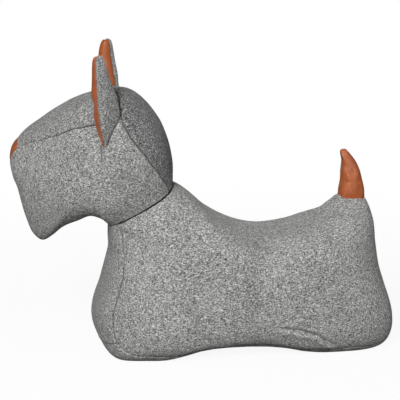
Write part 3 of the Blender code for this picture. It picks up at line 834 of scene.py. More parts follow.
class NodeSheet:
    """A tree of shader nodes."""

    def __init__(self, tree: bpy.types.NodeTree) -> None:
        """Take the tree that nodes are added to."""
        self.tree = tree

    def add(self, kind: str, settings: dict, inputs: dict) -> bpy.types.Node:
        """Add a node.

        Args:
            kind: the node's type.
            settings: its properties, set first; "stops" are a ramp's places and colours.
            inputs: values or links for its sockets, by name or number.

        Returns:
            The node.
        """
        node = self.tree.nodes.new(kind)
        for key, value in settings.items():
            if key == "stops":
                self.set_stops(node.color_ramp, value)
            else:
                setattr(node, key, value)
        for key, value in inputs.items():
            self.feed(node.inputs[key], value)
        return node

    @staticmethod
    def set_stops(ramp: bpy.types.ColorRamp, stops: Stops) -> None:
        """Give a ramp its stops."""
        while len(ramp.elements) < len(stops):
            ramp.elements.new(0.5)
        for element, (place, colour) in zip(ramp.elements, stops):
            element.position = place
            element.color = (*colour, 1.0)

    def feed(self, socket: Socket, value: object) -> None:
        """Set a socket to a value, or link it to a wire or a socket."""
        if isinstance(value, Wire):
            value = value.socket
        if isinstance(value, Socket):
            self.tree.links.new(value, socket)
        else:
            socket.default_value = value

    def wire(self, kind: str, output: str, inputs: dict, **settings: str) -> Wire:
        """Output of a new node."""
        return Wire(self, self.add(kind, settings, inputs).outputs[output])

    def show(self, share: Wire, first: bpy.types.Node, second: bpy.types.Node, output: str) -> None:
        """Show two shaders, with a share for the second."""
        mix = self.add("ShaderNodeMixShader", {}, {0: share, 1: first.outputs[0], 2: second.outputs[0]})
        self.feed(self.tree.nodes[output].inputs["Surface"], mix.outputs[0])


class ShaderSheet(NodeSheet):
    """The nodes of one material."""

    def __init__(self, name: str) -> None:
        """Start a material with a Principled shader."""
        self.material = bpy.data.materials.new(name)
        self.material.use_nodes = True
        super().__init__(self.material.node_tree)
        self.shader = self.tree.nodes["Principled BSDF"]
        self.place = self.add("ShaderNodeTexCoord", {}, {}).outputs["Object"]

    def mapped(self, rotation: Place, stretch: Place) -> Socket:
        """Coordinates that are turned and stretched."""
        inputs = {"Vector": self.place, "Rotation": rotation, "Scale": stretch}
        return self.add("ShaderNodeMapping", {"vector_type": "POINT"}, inputs).outputs["Vector"]

    def noise(self, size: float, detail: float = 2.0, place: Socket | None = None,
              roughness: float = 0.5) -> Wire:
        """Noise with features of a size in millimetres."""
        inputs = {"Vector": place or self.place, "Scale": 1 / (size * MM), "Detail": detail,
                  "Roughness": roughness}
        return self.wire("ShaderNodeTexNoise", "Fac", inputs)

    def cells(self, size: float) -> Wire:
        """Distance to the nearest wall of a pattern of cells of a size in millimetres."""
        inputs = {"Vector": self.place, "Scale": 1 / (size * MM)}
        return self.wire("ShaderNodeTexVoronoi", "Distance", inputs, feature="DISTANCE_TO_EDGE")

    def ramp(self, factor: Wire, stops: Stops) -> Socket:
        """Colour from a ramp."""
        return self.add("ShaderNodeValToRGB", {"stops": stops}, {"Fac": factor}).outputs["Color"]

    def blend(self, factor: Wire, first: Place, second: Place) -> Socket:
        """Mix of two colours."""
        inputs = {0: factor, 6: (*first, 1.0), 7: (*second, 1.0)}
        return self.add("ShaderNodeMix", {"data_type": "RGBA"}, inputs).outputs[2]

    def bump(self, height: Wire, strength: float, distance: float) -> None:
        """Relief with a height in millimetres."""
        inputs = {"Height": height, "Strength": strength, "Distance": distance * MM}
        self.feed(self.shader.inputs["Normal"], self.add("ShaderNodeBump", {}, inputs).outputs["Normal"])

    def finish(self, **values: object) -> bpy.types.Material:
        """Set the shader's sockets, with _ for the spaces in their names, and give the material."""
        for name, value in values.items():
            self.feed(self.shader.inputs[name.replace("_", " ")], value)
        return self.material


@dataclass(frozen=True)
class Strands:
    """Fibres that lie one way: how their noise is turned and stretched, and where they begin to show."""

    rotation: Place
    start: float
    stretch: Place = (0.2, 1.0, 1.0)
    size: float = 0.62
    soft: float = 0.1

    def on(self, sheet: ShaderSheet) -> Wire:
        """How much of the fibres shows."""
        place = sheet.mapped(self.rotation, self.stretch)
        return sheet.noise(self.size, 1.0, place).rise(self.start, self.start + self.soft)


@dataclass(frozen=True)
class HeatheredFelt:
    """Milled wool of white, grey and black fibres."""

    darkest: Place = (0.035, 0.036, 0.038)
    dark: Place = (0.150, 0.151, 0.151)
    middle: Place = (0.275, 0.276, 0.270)
    light: Place = (0.450, 0.449, 0.428)
    lightest: Place = (0.82, 0.81, 0.76)
    grain: float = 1.15
    grain_turn: Place = (0.0, 0.35, 0.0)
    grain_stretch: Place = (0.78, 1.0, 1.1)
    grain_contrast: float = 2.2
    clumps: float = 3.6
    clump_contrast: float = 0.25
    cloud: float = 34.0
    cloud_contrast: float = 0.16
    white: tuple[Strands, Strands] = (Strands((0.3, 0.9, 0.0), 0.60), Strands((0.0, -0.7, 0.8), 0.63))
    white_gain: float = 0.36
    black: tuple[Strands, Strands] = (Strands((0.5, 0.1, -0.6), 0.58, stretch=(1.0, 1.0, 0.2)),
                                      Strands((0.2, 0.45, 0.4), 0.60))
    black_loss: float = 0.40
    white_relief: float = 0.6
    black_relief: float = 0.3
    relief: float = 0.5

    def material(self, name: str, painted_shading: float = 0.0) -> bpy.types.Material:
        """Material for one panel.

        Args:
            name: the material's name.
            painted_shading: how much lighter the panel's felt is painted, below 0 for darker; this is painted
                shade that stands in for how light falls on the panel and its nap.

        Returns:
            The material.
        """
        sheet = ShaderSheet(name)
        grain = sheet.noise(self.grain, 3.0, sheet.mapped(self.grain_turn, self.grain_stretch), 0.72)
        clumps, cloud = sheet.noise(self.clumps), sheet.noise(self.cloud)
        white, black = (first.on(sheet) + second.on(sheet) for first, second in (self.white, self.black))
        # The panel's whole tone is shifted here: painted shade, felt painted darker where the panel takes
        # less light.
        tone = 0.5 + painted_shading + (grain - 0.5) * self.grain_contrast + (clumps - 0.5) * self.clump_contrast
        tone = tone + (cloud - 0.5) * self.cloud_contrast + white * self.white_gain - black * self.black_loss
        stops = ((0.0, self.darkest), (0.27, self.dark), (0.5, self.middle), (0.73, self.light),
                 (1.0, self.lightest))
        sheet.bump(grain + white * self.white_relief - black * self.black_relief, 0.6, self.relief)
        return sheet.finish(Base_Color=sheet.ramp(tone, stops), Roughness=0.92, Specular_IOR_Level=0.2,
                            Sheen_Weight=0.08, Sheen_Roughness=0.6)


@dataclass(frozen=True)
class CognacLeather:
    """Soft brown leather with a fine grain."""

    shade: Place = (0.235, 0.052, 0.014)
    middle: Place = (0.365, 0.090, 0.024)
    bright: Place = (0.45, 0.122, 0.036)
    pebble: float = 1.1
    pebble_edge: float = 0.16
    pebble_share: float = 0.4
    pebble_relief: float = 0.9
    pore: float = 0.6
    pore_relief: float = 0.3
    mottle: float = 7.0
    relief: float = 0.25
    roughness: float = 0.31
    rough_mottle: float = 0.08

    def material(self, name: str) -> bpy.types.Material:
        """Material for one piece."""
        sheet = ShaderSheet(name)
        pebbles = sheet.cells(self.pebble).rise(0.0, self.pebble_edge)
        mottle, pores = sheet.noise(self.mottle, 3.0), sheet.noise(self.pore)
        tone = mottle.rise(0.25, 0.75) * (1 - self.pebble_share) + pebbles * self.pebble_share
        colour = sheet.ramp(tone, ((0.0, self.shade), (0.45, self.middle), (1.0, self.bright)))
        sheet.bump(pebbles * self.pebble_relief + pores * self.pore_relief, 0.5, self.relief)
        rough = self.roughness + mottle * self.rough_mottle
        return sheet.finish(Base_Color=colour, Roughness=rough, Specular_IOR_Level=0.5)


@dataclass(frozen=True)
class LooseFibre:
    """Wadding or plain cotton."""

    pale: Place = (0.84, 0.84, 0.81)
    deep: Place = (0.62, 0.62, 0.60)
    thread: float = 1.2
    relief: float = 0.6

    def material(self, name: str) -> bpy.types.Material:
        """Material for one piece."""
        sheet = ShaderSheet(name)
        tuft = sheet.noise(self.thread, 3.0, roughness=0.7)
        sheet.bump(tuft, 0.6, self.relief)
        return sheet.finish(Base_Color=sheet.blend(tuft, self.deep, self.pale), Roughness=0.95)


WADDING = LooseFibre()
COTTON = LooseFibre(pale=(0.62, 0.56, 0.44), deep=(0.46, 0.40, 0.30), thread=0.9)
THREAD = LooseFibre(pale=(0.42, 0.42, 0.40), deep=(0.18, 0.18, 0.17), thread=0.5)


# Making pieces


@dataclass
class Workshop:
    """Turns panels into pieces of the model."""

    shift: float
    weld: float = 2e-6
    swell_fade: float = 10.0
    lump_size: float = 34.0
    lump_height: float = 0.7
    lump_detail: tuple[float, float] = (0.35, 2.6)
    lump_fade: float = 14.0
    felt: HeatheredFelt = HeatheredFelt()
    finishes: dict[Slot, CognacLeather | LooseFibre] = field(default_factory=lambda: {
        Slot.LEATHER: CognacLeather(), Slot.WADDING: WADDING, Slot.COTTON: THREAD})

    def piece(self, name: str, points: Array, faces: list, slot: Slot, *nodes: str,
              painted_shading: float = 0.0) -> bpy.types.Object:
        """Make one piece.

        Args:
            name: the piece's name.
            points: its points in millimetres.
            faces: its faces.
            slot: its material slot in the record.
            nodes: the CAD nodes that it stands for.
            painted_shading: how much lighter its felt is painted, below 0 for darker; painted shade for how
                light falls on it.

        Returns:
            The piece, riding on the root body.
        """
        mesh = bpy.data.meshes.new(name)
        mesh.from_pydata((points.reshape(-1, 3) + (self.shift, 0, 0)) * MM, [], faces)
        built = bmesh.new()
        built.from_mesh(mesh)
        bmesh.ops.remove_doubles(built, verts=built.verts, dist=self.weld)
        bmesh.ops.dissolve_degenerate(built, dist=self.weld, edges=built.edges)
        built.to_mesh(mesh)
        built.free()
        obj = linked(name, mesh)
        felt = slot is Slot.FELT
        # The felt takes the piece's painted shade: a tone shift that stands in for light and shade.
        mesh.materials.append(self.felt.material(name, painted_shading) if felt else self.finishes[slot].material(name))
        mesh.shade_smooth()
        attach(obj, "root")
        if nodes:
            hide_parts(*nodes)
        log.info("%s: %d faces, for %s", name, len(mesh.polygons), ", ".join(nodes) or "nothing")
        return obj

    def sew(self, name: str, patch: Patch, slot: Slot, node: str, edge: SewnEdge, swell: Swell | None = None,
            creases: Sequence[Crease] = (), move: Callable[[Array], Array] | None = None,
            floor: float | None = None, painted_shading: float = 0.0) -> bpy.types.Object:
        """Shape a panel between its seams and make its piece.

        Args:
            name: the piece's name.
            patch: the panel's grid.
            slot: its material slot.
            node: the CAD node that it stands for.
            edge: how it rolls into its seams.
            swell: how its stuffing moves it.
            creases: pinches in it.
            move: where its points go once it is shaped.
            floor: lowest height of its points.
            painted_shading: how much lighter its felt is painted, below 0 for darker; painted shade for how
                light falls on it.

        Returns:
            The piece.
        """
        if swell:
            fade = smoothstep(patch.seam_distance, 0.0, self.swell_fade)[..., None]
            patch.points = patch.points + swell.at(patch.points) * fade
        depth = patch.depth * self.puckers(patch, edge) - self.lumps(patch)
        for crease in creases:
            depth = depth + crease.depth_at(patch.points)
        if move:
            patch.points = move(patch.points.reshape(-1, 3)).reshape(patch.points.shape)
            patch.middle = move(patch.middle[None])[0]
        points = patch.points - patch.normals() * depth[..., None]
        if floor is not None:
            points[..., 2] = np.maximum(points[..., 2], floor)
        return self.piece(name, points, patch.faces(), slot, node, painted_shading=painted_shading)

    @staticmethod
    def puckers(patch: Patch, edge: SewnEdge) -> Array:
        """Unevenness of the dip beside the seams."""
        flat = patch.points.reshape(-1, 3)
        pull = np.ones(len(flat))
        for index in np.nonzero(patch.depth.reshape(-1) > PUCKER_FROM)[0]:
            pull[index] += edge.pucker * noise.noise(Vector(flat[index]) / edge.pucker_pitch)
        return pull.reshape(patch.depth.shape)

    def lumps(self, patch: Patch) -> Array:
        """Soft unevenness of the stuffing, away from the seams."""
        flat = patch.points.reshape(-1, 3) / self.lump_size
        share, finer = self.lump_detail
        swell = [noise.noise(Vector(place)) + share * noise.noise(Vector(place * finer)) for place in flat]
        fade = smoothstep(patch.seam_distance, 0.0, self.lump_fade)
        return self.lump_height * np.reshape(swell, fade.shape) * fade

    def stuffing(self, name: str, node: str, sink: float) -> bpy.types.Object:
        """Stuffing inside a cover: the CAD solid, sunk a little so that the cover's seams clear it.

        Args:
            name: the piece's name.
            node: the CAD node that it stands for.
            sink: how far it lies under the CAD solid's surface, in millimetres.

        Returns:
            The piece.
        """
        built = bmesh.new()
        built.from_mesh(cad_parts[node].data)
        bmesh.ops.remove_doubles(built, verts=built.verts, dist=TOUCH)
        built.normal_update()
        points = np.array([vertex.co - vertex.normal * sink * MM for vertex in built.verts])
        faces = [[vertex.index for vertex in face.verts] for face in built.faces]
        built.free()
        obj = self.piece(name, points / MM - (self.shift, 0, 0), faces, Slot.WADDING, node)
        return obj


@dataclass
class NeckJoint:
    """Brings the edges of the head and the body together along the neck seam."""

    neck: NeckCut
    forms: dict[Part, StuffedForm]
    reach: float = 13.0
    core: float = 1.0
    rim_steps: int = 240
    samples: int = 3000
    angles: Array = field(init=False)
    rims: dict[Part, Array] = field(init=False)

    def __post_init__(self) -> None:
        """Measure both rims as distances from the neck's axis, by the angle round it."""
        self.angles = np.linspace(-math.pi, math.pi, self.rim_steps, endpoint=False)
        self.rims = {part: self.measured(self.placed(self.edge_of(form), part))
                     for part, form in self.forms.items()}

    def edge_of(self, form: StuffedForm) -> Array:
        """Points of a form's edge at its neck cut."""
        angle = np.linspace(0, TURN, self.samples, endpoint=False)
        cut = form.cut_share(angle)
        met = cut < 1
        return np.concatenate([form.surface(angle[met], cut[met], side) for side in (-1, 1)])

    def placed(self, points: Array, part: Part) -> Array:
        """Points of a part in place: the head is turned."""
        return self.neck.turned(points) if part is Part.HEAD else points

    def seen(self, points: Array) -> tuple[Array, Array, Array]:
        """Points in the neck's axes, with their angles round it and their distances from it."""
        local = (points - self.neck.origin) @ self.neck.axes.T
        return local, np.arctan2(local[:, 1], local[:, 0]), np.hypot(local[:, 0], local[:, 1])

    def measured(self, points: Array) -> Array:
        """Distance of an edge from the axis at each angle round it."""
        _, angle, distance = self.seen(points)
        order = np.argsort(angle)
        return np.interp(self.angles, angle[order], distance[order], period=TURN)

    def flush(self, points: Array, part: Part) -> Array:
        """Points of a part, put in place and moved so that both edges meet halfway.

        Args:
            points: points of the part as it is drawn.
            part: the part.

        Returns:
            The moved points.
        """
        local, angle, distance = self.seen(self.placed(points, part))
        mine, other = (np.interp(angle, self.angles, self.rims[rim], period=TURN)
                       for rim in (part, part.other))
        fade = np.exp(-((local[:, 2] / self.reach) ** 2)) * np.clip(distance / mine, 0, 1)
        shift = 0.5 * (other - mine) * fade
        local[:, :2] *= (1 + shift / np.maximum(distance, self.core))[:, None]
        return self.neck.origin + local @ self.neck.axes


@dataclass
class Body:
    """Two sides, a chest gusset and a base, round the stuffing."""

    neck: NeckCut
    centre: Point = (35.0, 62.0)
    half_width: float = 58.0
    chest: OutlinePoints = ((-86.3, 102.0), (-85.8, 90.0), (-89.3, 76.0), (-93.6, 61.0), (-98.6, 45.0),
                            (-99.8, 29.0))
    chest_foot: Point = (-95.7, 13.0)
    front_foot: OutlinePoints = ((-85.3, -0.5), (-70.0, -3.0), (-46.0, -3.0), (-28.0, 1.0))
    belly: OutlinePoints = ((-5.0, 6.2), (28.0, 6.6), (60.0, 4.2))
    rear_foot: OutlinePoints = ((84.0, -0.5), (108.0, -3.0), (135.0, -3.0), (151.0, -0.5))
    heel: OutlinePoints = ((160.0, 6.5), (163.2, 16.0))
    base_end: Point = (163.2, 27.0)
    rump: OutlinePoints = ((161.3, 38.0), (156.3, 56.0), (151.0, 74.0), (148.8, 92.0), (147.5, 106.0),
                           (142.8, 116.0))
    back: OutlinePoints = ((134.0, 121.5), (118.0, 120.5), (98.0, 115.0), (78.0, 108.9), (50.0, 107.2),
                           (22.0, 112.8), (0.0, 124.6), (-16.0, 138.8))
    dome: OutlinePoints = ((-52.0, 154.0), (-79.0, 146.0), (-91.0, 128.0))
    stump: OutlinePoints = ((93.0, 0.0), (98.0, 1.5), (107.0, 7.0), (116.5, 12.5), (129.0, 11.5),
                            (141.5, 11.5), (147.0, 5.5), (152.0, 0.0))
    stump_half_width: float = 15.0
    stump_below: float = 95.0
    fullness: OutlinePoints = ((0, 2.8), (60, 2.4), (100, 2.3), (150, 2.2), (180, 2.9), (205, 4), (240, 5),
                               (300, 5), (335, 4))
    chest_neck_half_width: float = 27.0
    chest_half_width: float = 36.0
    chest_foot_half_width: float = 40.0
    base_inset: float = 11.0
    heel_half_widths: tuple[float, ...] = (41.0, 31.0, 18.0)
    base_end_half_width: float = 1.5
    fold: OutlinePoints = ((48.0, 29.5), (71.9, 25.0), (87.0, 19.7), (98.7, 11.5), (105.8, 8.4))
    firm_at_feet: tuple[float, float] = (0.4, 0.9)
    held_below: float = 3.0
    clearance: float = 0.2
    # Painted shade: the chest felt is painted a little darker for the light that falls less on it.
    chest_painted_shading: float = -0.02
    edge: SewnEdge = SewnEdge()
    pitch: float = 1.9

    def rise(self, x: Array, y: Array, z: Array) -> Array:
        """How far the felt stands up round the foot of the tail."""
        along, height = zip(*self.stump)
        across = np.exp(-((y / self.stump_half_width) ** 2))
        return np.interp(x, along, height) * across * (z > self.stump_below)

    def form(self) -> StuffedForm:
        """Body outline, swelling to the sides, squarer towards the floor."""
        outline = (self.neck.front, *self.chest, self.chest_foot, *self.front_foot, *self.belly,
                   *self.rear_foot, *self.heel, self.base_end, *self.rump, *self.back, self.neck.back,
                   *self.dome)
        turns, powers = zip(*self.fullness)
        return StuffedForm(outline, self.centre, everywhere(self.half_width),
                           lambda angle: np.interp(np.degrees(angle), turns, powers, period=360),
                           cut=self.neck, keep=Part.BODY, rise=self.rise, floor=0.0)

    def seam_half_width(self, form: StuffedForm) -> Depth:
        """Half width of the chest gusset and the base, by the angle."""
        base_half = self.half_width - self.base_inset
        heel = zip((self.rear_foot[3], *self.heel), self.heel_half_widths)
        above_end = (self.base_end[0], self.base_end[1] + 1)
        return form.stations((self.neck.back, 0), (self.neck.front, self.chest_neck_half_width),
                             (self.chest[2], self.chest_half_width),
                             (self.chest_foot, self.chest_foot_half_width), (self.front_foot[1], base_half),
                             (self.rear_foot[2], base_half), *heel,
                             (self.base_end, self.base_end_half_width), (above_end, 0))

    def build(self, shop: Workshop, joint: NeckJoint, inflation: Inflation | None) -> None:
        """Make the body's pieces.

        Args:
            shop: makes the pieces.
            joint: brings its neck edge to the head's.
            inflation: the cloth simulation, or None to leave it out.
        """
        form = joint.forms[Part.BODY]
        half = self.seam_half_width(form)
        neck = form.angle_of(self.neck.centre)
        front = form.cut_angle(neck, neck + NECK_SEARCH, half)
        foot, rear = form.angle_of(self.chest_foot), form.angle_of(self.base_end)
        angles = form.evenly(front, front + TURN, self.pitch)[:-1]
        feet = zip((self.chest_foot, self.front_foot[1]), self.firm_at_feet)
        firm = form.stations((self.chest[3], 1.0), *feet, (self.belly[0], 1.0))
        sides = {side: side_patch(form, side.value, angles, half, self.edge, self.pitch, firm)
                 for side in Side}
        chest = strip_patch(form, form.cut_line(half), everywhere(foot), half, self.edge, self.pitch,
                            NECK_EDGE, firm)
        base = strip_patch(form, everywhere(foot), everywhere(rear), half, self.edge, self.pitch, firm=firm)
        swell = None
        if inflation:
            swell = inflation.run("body_cloth", form, (*sides.values(), chest, base), self.held_below)
        creases = {Side.LEFT: (Crease(self.fold, depth=2.0, width=1.7),),
                   Side.RIGHT: (Crease(self.fold[1:], depth=1.0, width=2.4),)}
        placed = partial(joint.flush, part=Part.BODY)
        for side, patch in sides.items():
            shop.sew(f"body_{side.word}_felt", patch, Slot.FELT, f"body_side_{side.word}", self.edge, swell,
                     creases[side], placed, self.clearance)
        shop.sew("chest_felt", chest, Slot.FELT, "chest_gusset", self.edge, swell, (), placed, self.clearance,
                 self.chest_painted_shading)
        shop.sew("base_felt", base, Slot.FELT, "base_panel", self.edge, swell, floor=0.0)
        shop.stuffing("body_stuffing", "body_filling", sink=3.0)


@dataclass
class Head:
    """Two sides, a crown gusset, a back panel and a nose patch, round the stuffing."""

    neck: NeckCut
    centre: Point = (-100.0, 165.0)
    full: float = 2.5
    skull_half_width: float = 47.0
    muzzle_half_width: float = 30.0
    nape: OutlinePoints = ((-30.6, 165.2), (-34.0, 182.9), (-40.8, 201.4), (-50.2, 215.3), (-61.1, 225.6))
    poll: Point = (-72.0, 231.2)
    brow: OutlinePoints = ((-84.0, 231.6), (-97.0, 227.6), (-110.0, 223.6), (-124.0, 216.5),
                           (-139.4, 206.5), (-153.3, 196.5))
    nose_top: Point = (-162.3, 187.8)
    nose_front: Point = (-167.6, 180.0)
    nose_tip: Point = (-169.8, 170.5)
    muzzle: OutlinePoints = ((-169.0, 161.0), (-167.0, 152.5), (-163.6, 144.0), (-160.0, 127.1),
                             (-156.1, 114.0), (-151.5, 103.0))
    beard: OutlinePoints = ((-143.5, 96.5), (-134.5, 101.5))
    jaw: OutlinePoints = ((-124.0, 110.8), (-110.0, 118.6), (-97.5, 124.6))
    dome: OutlinePoints = ((-79.0, 105.0), (-61.0, 102.0), (-42.0, 111.0), (-30.0, 128.0))
    nose_foot: Point = (-169.6, 165.5)
    nose_foot_half_width: float = 1.5
    nose_tip_half_width: float = 7.0
    nose_half_width: float = 12.5
    crown_seam: Seam = (((-154.9, 186.1), 17.0), ((-140.8, 192.3), 24.7), ((-126.7, 198.5), 31.0),
                        ((-118.7, 202.7), 34.0), ((-104.7, 207.8), 38.0), ((-92.8, 211.1), 38.4))
    ear_line: tuple[Point, float] = ((-74.0, 217.2), 30.0)
    nape_seam: Seam = (((-70.8, 209.3), 34.5), ((-63.0, 199.6), 36.8), ((-55.0, 189.3), 36.2),
                       ((-45.1, 173.7), 33.0), ((-37.4, 159.7), 26.5), ((-32.8, 151.7), 19.0))
    ear_line_bow: float = math.radians(10.5)
    nose_line_bow: float = math.radians(5.0)
    dart: OutlinePoints = ((-86.4, 197.0), (-86.1, 190.0), (-85.7, 184.0), (-85.6, 179.0))
    ear_roots: dict[Side, OutlinePoints] = field(default_factory=lambda: {
        Side.LEFT: ((-86.6, 188.0), (-83.6, 194.4), (-81.2, 201.6), (-78.2, 209.0), (-76.0, 213.5),
                    (-73.0, 220.0)),
        Side.RIGHT: ((-92.3, 188.0), (-89.3, 194.4), (-86.9, 201.6), (-84.9, 209.0), (-82.7, 213.5),
                     (-79.7, 220.0))})
    ear_fronts: dict[Side, OutlinePoints] = field(default_factory=lambda: {
        Side.LEFT: ((-88.0, 186.0), (-90.0, 200.0), (-86.0, 214.0), (-80.0, 228.0)),
        Side.RIGHT: ((-94.0, 186.0), (-96.0, 200.0), (-92.0, 214.0), (-86.0, 228.0))})
    # Painted shade: the nape and crown felt are painted darker, standing in for the darker look that the
    # light gives these panels and their nap.
    nape_painted_shading: float = -0.21
    crown_painted_shading: float = -0.06
    edge: SewnEdge = SewnEdge()
    nose_edge: SewnEdge = SewnEdge(radius=1.1, slit=0.12, tuck=1.2, dip=0.3, dip_reach=3.0, pucker=0.4,
                                   pucker_pitch=4.0)
    pitch: float = 1.8
    nose_pitch: float = 1.0

    def form(self) -> StuffedForm:
        """Head outline, swelling to the skull and less to the muzzle."""
        outline = (self.neck.back, *self.nape, self.poll, *self.brow, self.nose_top, self.nose_front,
                   self.nose_tip, *self.muzzle, *self.beard, *self.jaw, self.neck.front, *self.dome)

        def half_width(x: Array, z: Array) -> Array:
            """Half width from the muzzle to the skull."""
            rise = smoothstep(x, self.nose_tip[0], self.centre[0])
            return self.muzzle_half_width + (self.skull_half_width - self.muzzle_half_width) * rise

        return StuffedForm(outline, self.centre, half_width, everywhere(self.full), cut=self.neck)

    def seam_firmness(self, form: StuffedForm) -> Depth:
        """How plainly the seams show, by the angle: the crown's fade towards the nose."""
        return form.stations((self.ear_line[0], 1.0), (self.crown_seam[3][0], 0.6),
                             (self.crown_seam[2][0], 0.35), (self.nose_top, 0.15), (self.nose_tip, 0.5),
                             (self.muzzle[2], 1.0))

    def build(self, shop: Workshop, joint: NeckJoint, inflation: Inflation | None) -> None:
        """Make the head's pieces.

        Args:
            shop: makes the pieces.
            joint: brings its neck edge to the body's.
            inflation: the cloth simulation, or None to leave it out.
        """
        form = joint.forms[Part.HEAD]
        half = form.stations((self.nose_foot, self.nose_foot_half_width),
                             (self.nose_tip, self.nose_tip_half_width),
                             (self.nose_front, self.nose_half_width), *self.crown_seam, self.ear_line,
                             *self.nape_seam, (self.neck.front, 0), (self.muzzle[0], 0))
        neck = form.angle_of(self.neck.centre)
        throat = form.cut_angle(neck, neck - NECK_SEARCH, everywhere(0.0))
        start = form.cut_line(half)
        ear_line = form.angle_of(self.ear_line[0])
        nape_end = ear_line + TURN * (ear_line < start(1.0))
        nose_top, nose_foot = form.angle_of(self.nose_top), form.angle_of(self.nose_foot)

        def nose_line(t: Array) -> Array:
            """Angle of the seam over the nose, lower at its sides."""
            return nose_top + self.nose_line_bow * t**2

        angles = form.evenly(throat, throat + TURN, self.pitch)[:-1]
        firm = self.seam_firmness(form)
        sides = {side: side_patch(form, side.value, angles, half, self.edge, self.pitch, firm)
                 for side in Side}
        nape = strip_patch(form, start, lambda t: nape_end + self.ear_line_bow * (1 - t), half, self.edge,
                           self.pitch, NECK_EDGE)
        crown = strip_patch(form, lambda t: ear_line + self.ear_line_bow * (1 - t), nose_line, half,
                            self.edge, self.pitch, firm=firm)
        nose = strip_patch(form, nose_line, everywhere(nose_foot), half, self.nose_edge, self.nose_pitch)
        swell = None
        if inflation:
            swell = inflation.run("head_cloth", form, (*sides.values(), nape, crown, nose), None)
        placed = partial(joint.flush, part=Part.HEAD)
        dart = Crease(self.dart, depth=3.2, width=1.0, lip=0.2)
        roots = {side: Crease(line, depth=2.6, width=1.5, lip=0.0) for side, line in self.ear_roots.items()}
        fronts = {side: Crease(line, depth=2.0, width=4.0, lip=0.0) for side, line in self.ear_fronts.items()}
        for side, patch in sides.items():
            shop.sew(f"head_{side.word}_felt", patch, Slot.FELT, f"head_side_{side.word}", self.edge, swell,
                     (dart, roots[side], fronts[side]), placed)
        shop.sew("nape_felt", nape, Slot.FELT, "head_back_panel", self.edge, swell, (), placed,
                 painted_shading=self.nape_painted_shading)
        shop.sew("crown_felt", crown, Slot.FELT, "head_crown_gusset", self.edge, swell, (fronts[Side.LEFT],),
                 placed, painted_shading=self.crown_painted_shading)
        shop.sew("nose_leather", nose, Slot.LEATHER, "nose_patch", self.nose_edge, swell, (), placed)
        shop.stuffing("head_stuffing", "head_filling", sink=3.0)


@dataclass
class Ear:
    """A felt back and a leather front, sewn round the edge over a little wadding."""

    side: Side
    neck: NeckCut
    outer: Place
    inner: Place
    tip: Place
    back_swell: float = 5.2
    front_swell: float = 10.0
    outer_bow: float = 4.0
    outer_shares: tuple[float, float] = (0.35, 0.7)
    inner_bow: float = 2.0
    inner_shares: tuple[float, float] = (0.4, 0.75)
    root: float = 0.8
    root_shares: tuple[float, float] = (0.2, 0.8)
    tip_radius: float = 3.2
    tip_shares: tuple[float, float] = (0.96, 0.05)
    full: float = 3.1
    edge: SewnEdge = SewnEdge(radius=0.9, rows=4, slit=0.12, tuck=0.6, dip=0.25, dip_reach=2.0,
                              pucker_pitch=3.0)
    pitch: float = 0.9
    # Painted shade: the felt back is painted a little darker for how light falls on it.
    painted_shading: float = -0.06
    stitch_pitch: float = 2.2
    stitch_reach: tuple[float, ...] = (-0.1, 0.25, 0.9, 1.7, 1.9)
    stitch_lift: tuple[float, ...] = (-0.3, -0.1, 0.05, 0.0, -0.5)
    stitch_slant: float = 0.5
    thread_radius: float = 0.26

    def build(self, shop: Workshop) -> None:
        """Make the ear's pieces."""
        side = self.side.value
        outer, inner, tip = (np.array((x, y * side, z)) for x, y, z in (self.outer, self.inner, self.tip))
        middle = (outer + inner) / 2
        up = (tip - middle) / np.linalg.norm(tip - middle)
        across = (inner - outer) - (inner - outer) @ up * up
        across /= np.linalg.norm(across)
        axes = np.stack([across, np.cross(up, across), up])
        low, high, top = (tuple((axes @ (point - middle))[[0, 2]]) for point in (outer, inner, tip))
        outline = (low, *(bowed(low, top, share, self.outer_bow) for share in self.outer_shares),
                   bowed(low, top, self.tip_shares[0], self.tip_radius), top,
                   bowed(top, high, self.tip_shares[1], self.tip_radius),
                   *(bowed(top, high, share, self.inner_bow) for share in self.inner_shares), high,
                   *(bowed(high, low, share, self.root) for share in self.root_shares))
        centre = ((low[0] + high[0] + top[0]) / 3, top[1] / 3)
        swell = (self.front_swell + self.back_swell) / 2
        form = StuffedForm(outline, centre, everywhere(swell), everywhere(self.full),
                           skew=-side * (self.front_swell / swell - 1))
        angles = form.evenly(0.0, TURN - TOUCH, self.pitch)[:-1]

        def placed(points: Array) -> Array:
            """Points of the ear on the turned head."""
            return self.neck.turned(points @ axes + middle)

        ear = f"ear_{self.side.word}"
        for name, slot, facing in (("back", Slot.FELT, side), ("lining", Slot.LEATHER, -side)):
            patch = side_patch(form, facing, angles, everywhere(0.0), self.edge, self.pitch)
            shop.sew(f"{ear}_{slot.value}", patch, slot, f"{ear}_{name}", self.edge, move=placed,
                     painted_shading=self.painted_shading)
        shop.stuffing(f"{ear}_stuffing", f"{ear}_wadding", sink=0.6)
        points, faces = self.stitches(form, side, form.angle_of(high), form.angle_of(low))
        shop.piece(f"{ear}_thread", placed(points), faces, Slot.COTTON)

    def stitches(self, form: StuffedForm, side: int, start: float, end: float) -> Mesh:
        """Whip stitches over the felt's edge, from the inner corner round the tip to the outer one."""
        blocks, faces, first = [], [], 0
        for angle in form.evenly(start, end, self.stitch_pitch)[1:-1]:
            radius = float(form.radius(np.array(angle)))
            shares = 1 - np.array(self.stitch_reach) / radius
            slant = angle + np.linspace(0, self.stitch_slant, len(shares)) / radius
            line = form.surface(slant, np.minimum(shares, 1.0), side)
            line[:, 1] += side * np.array(self.stitch_lift)
            points, quads = tube(line, self.thread_radius)
            blocks.append(points)
            faces += [tuple(first + index for index in quad) for quad in quads]
            first += len(points)
        return np.concatenate(blocks), faces


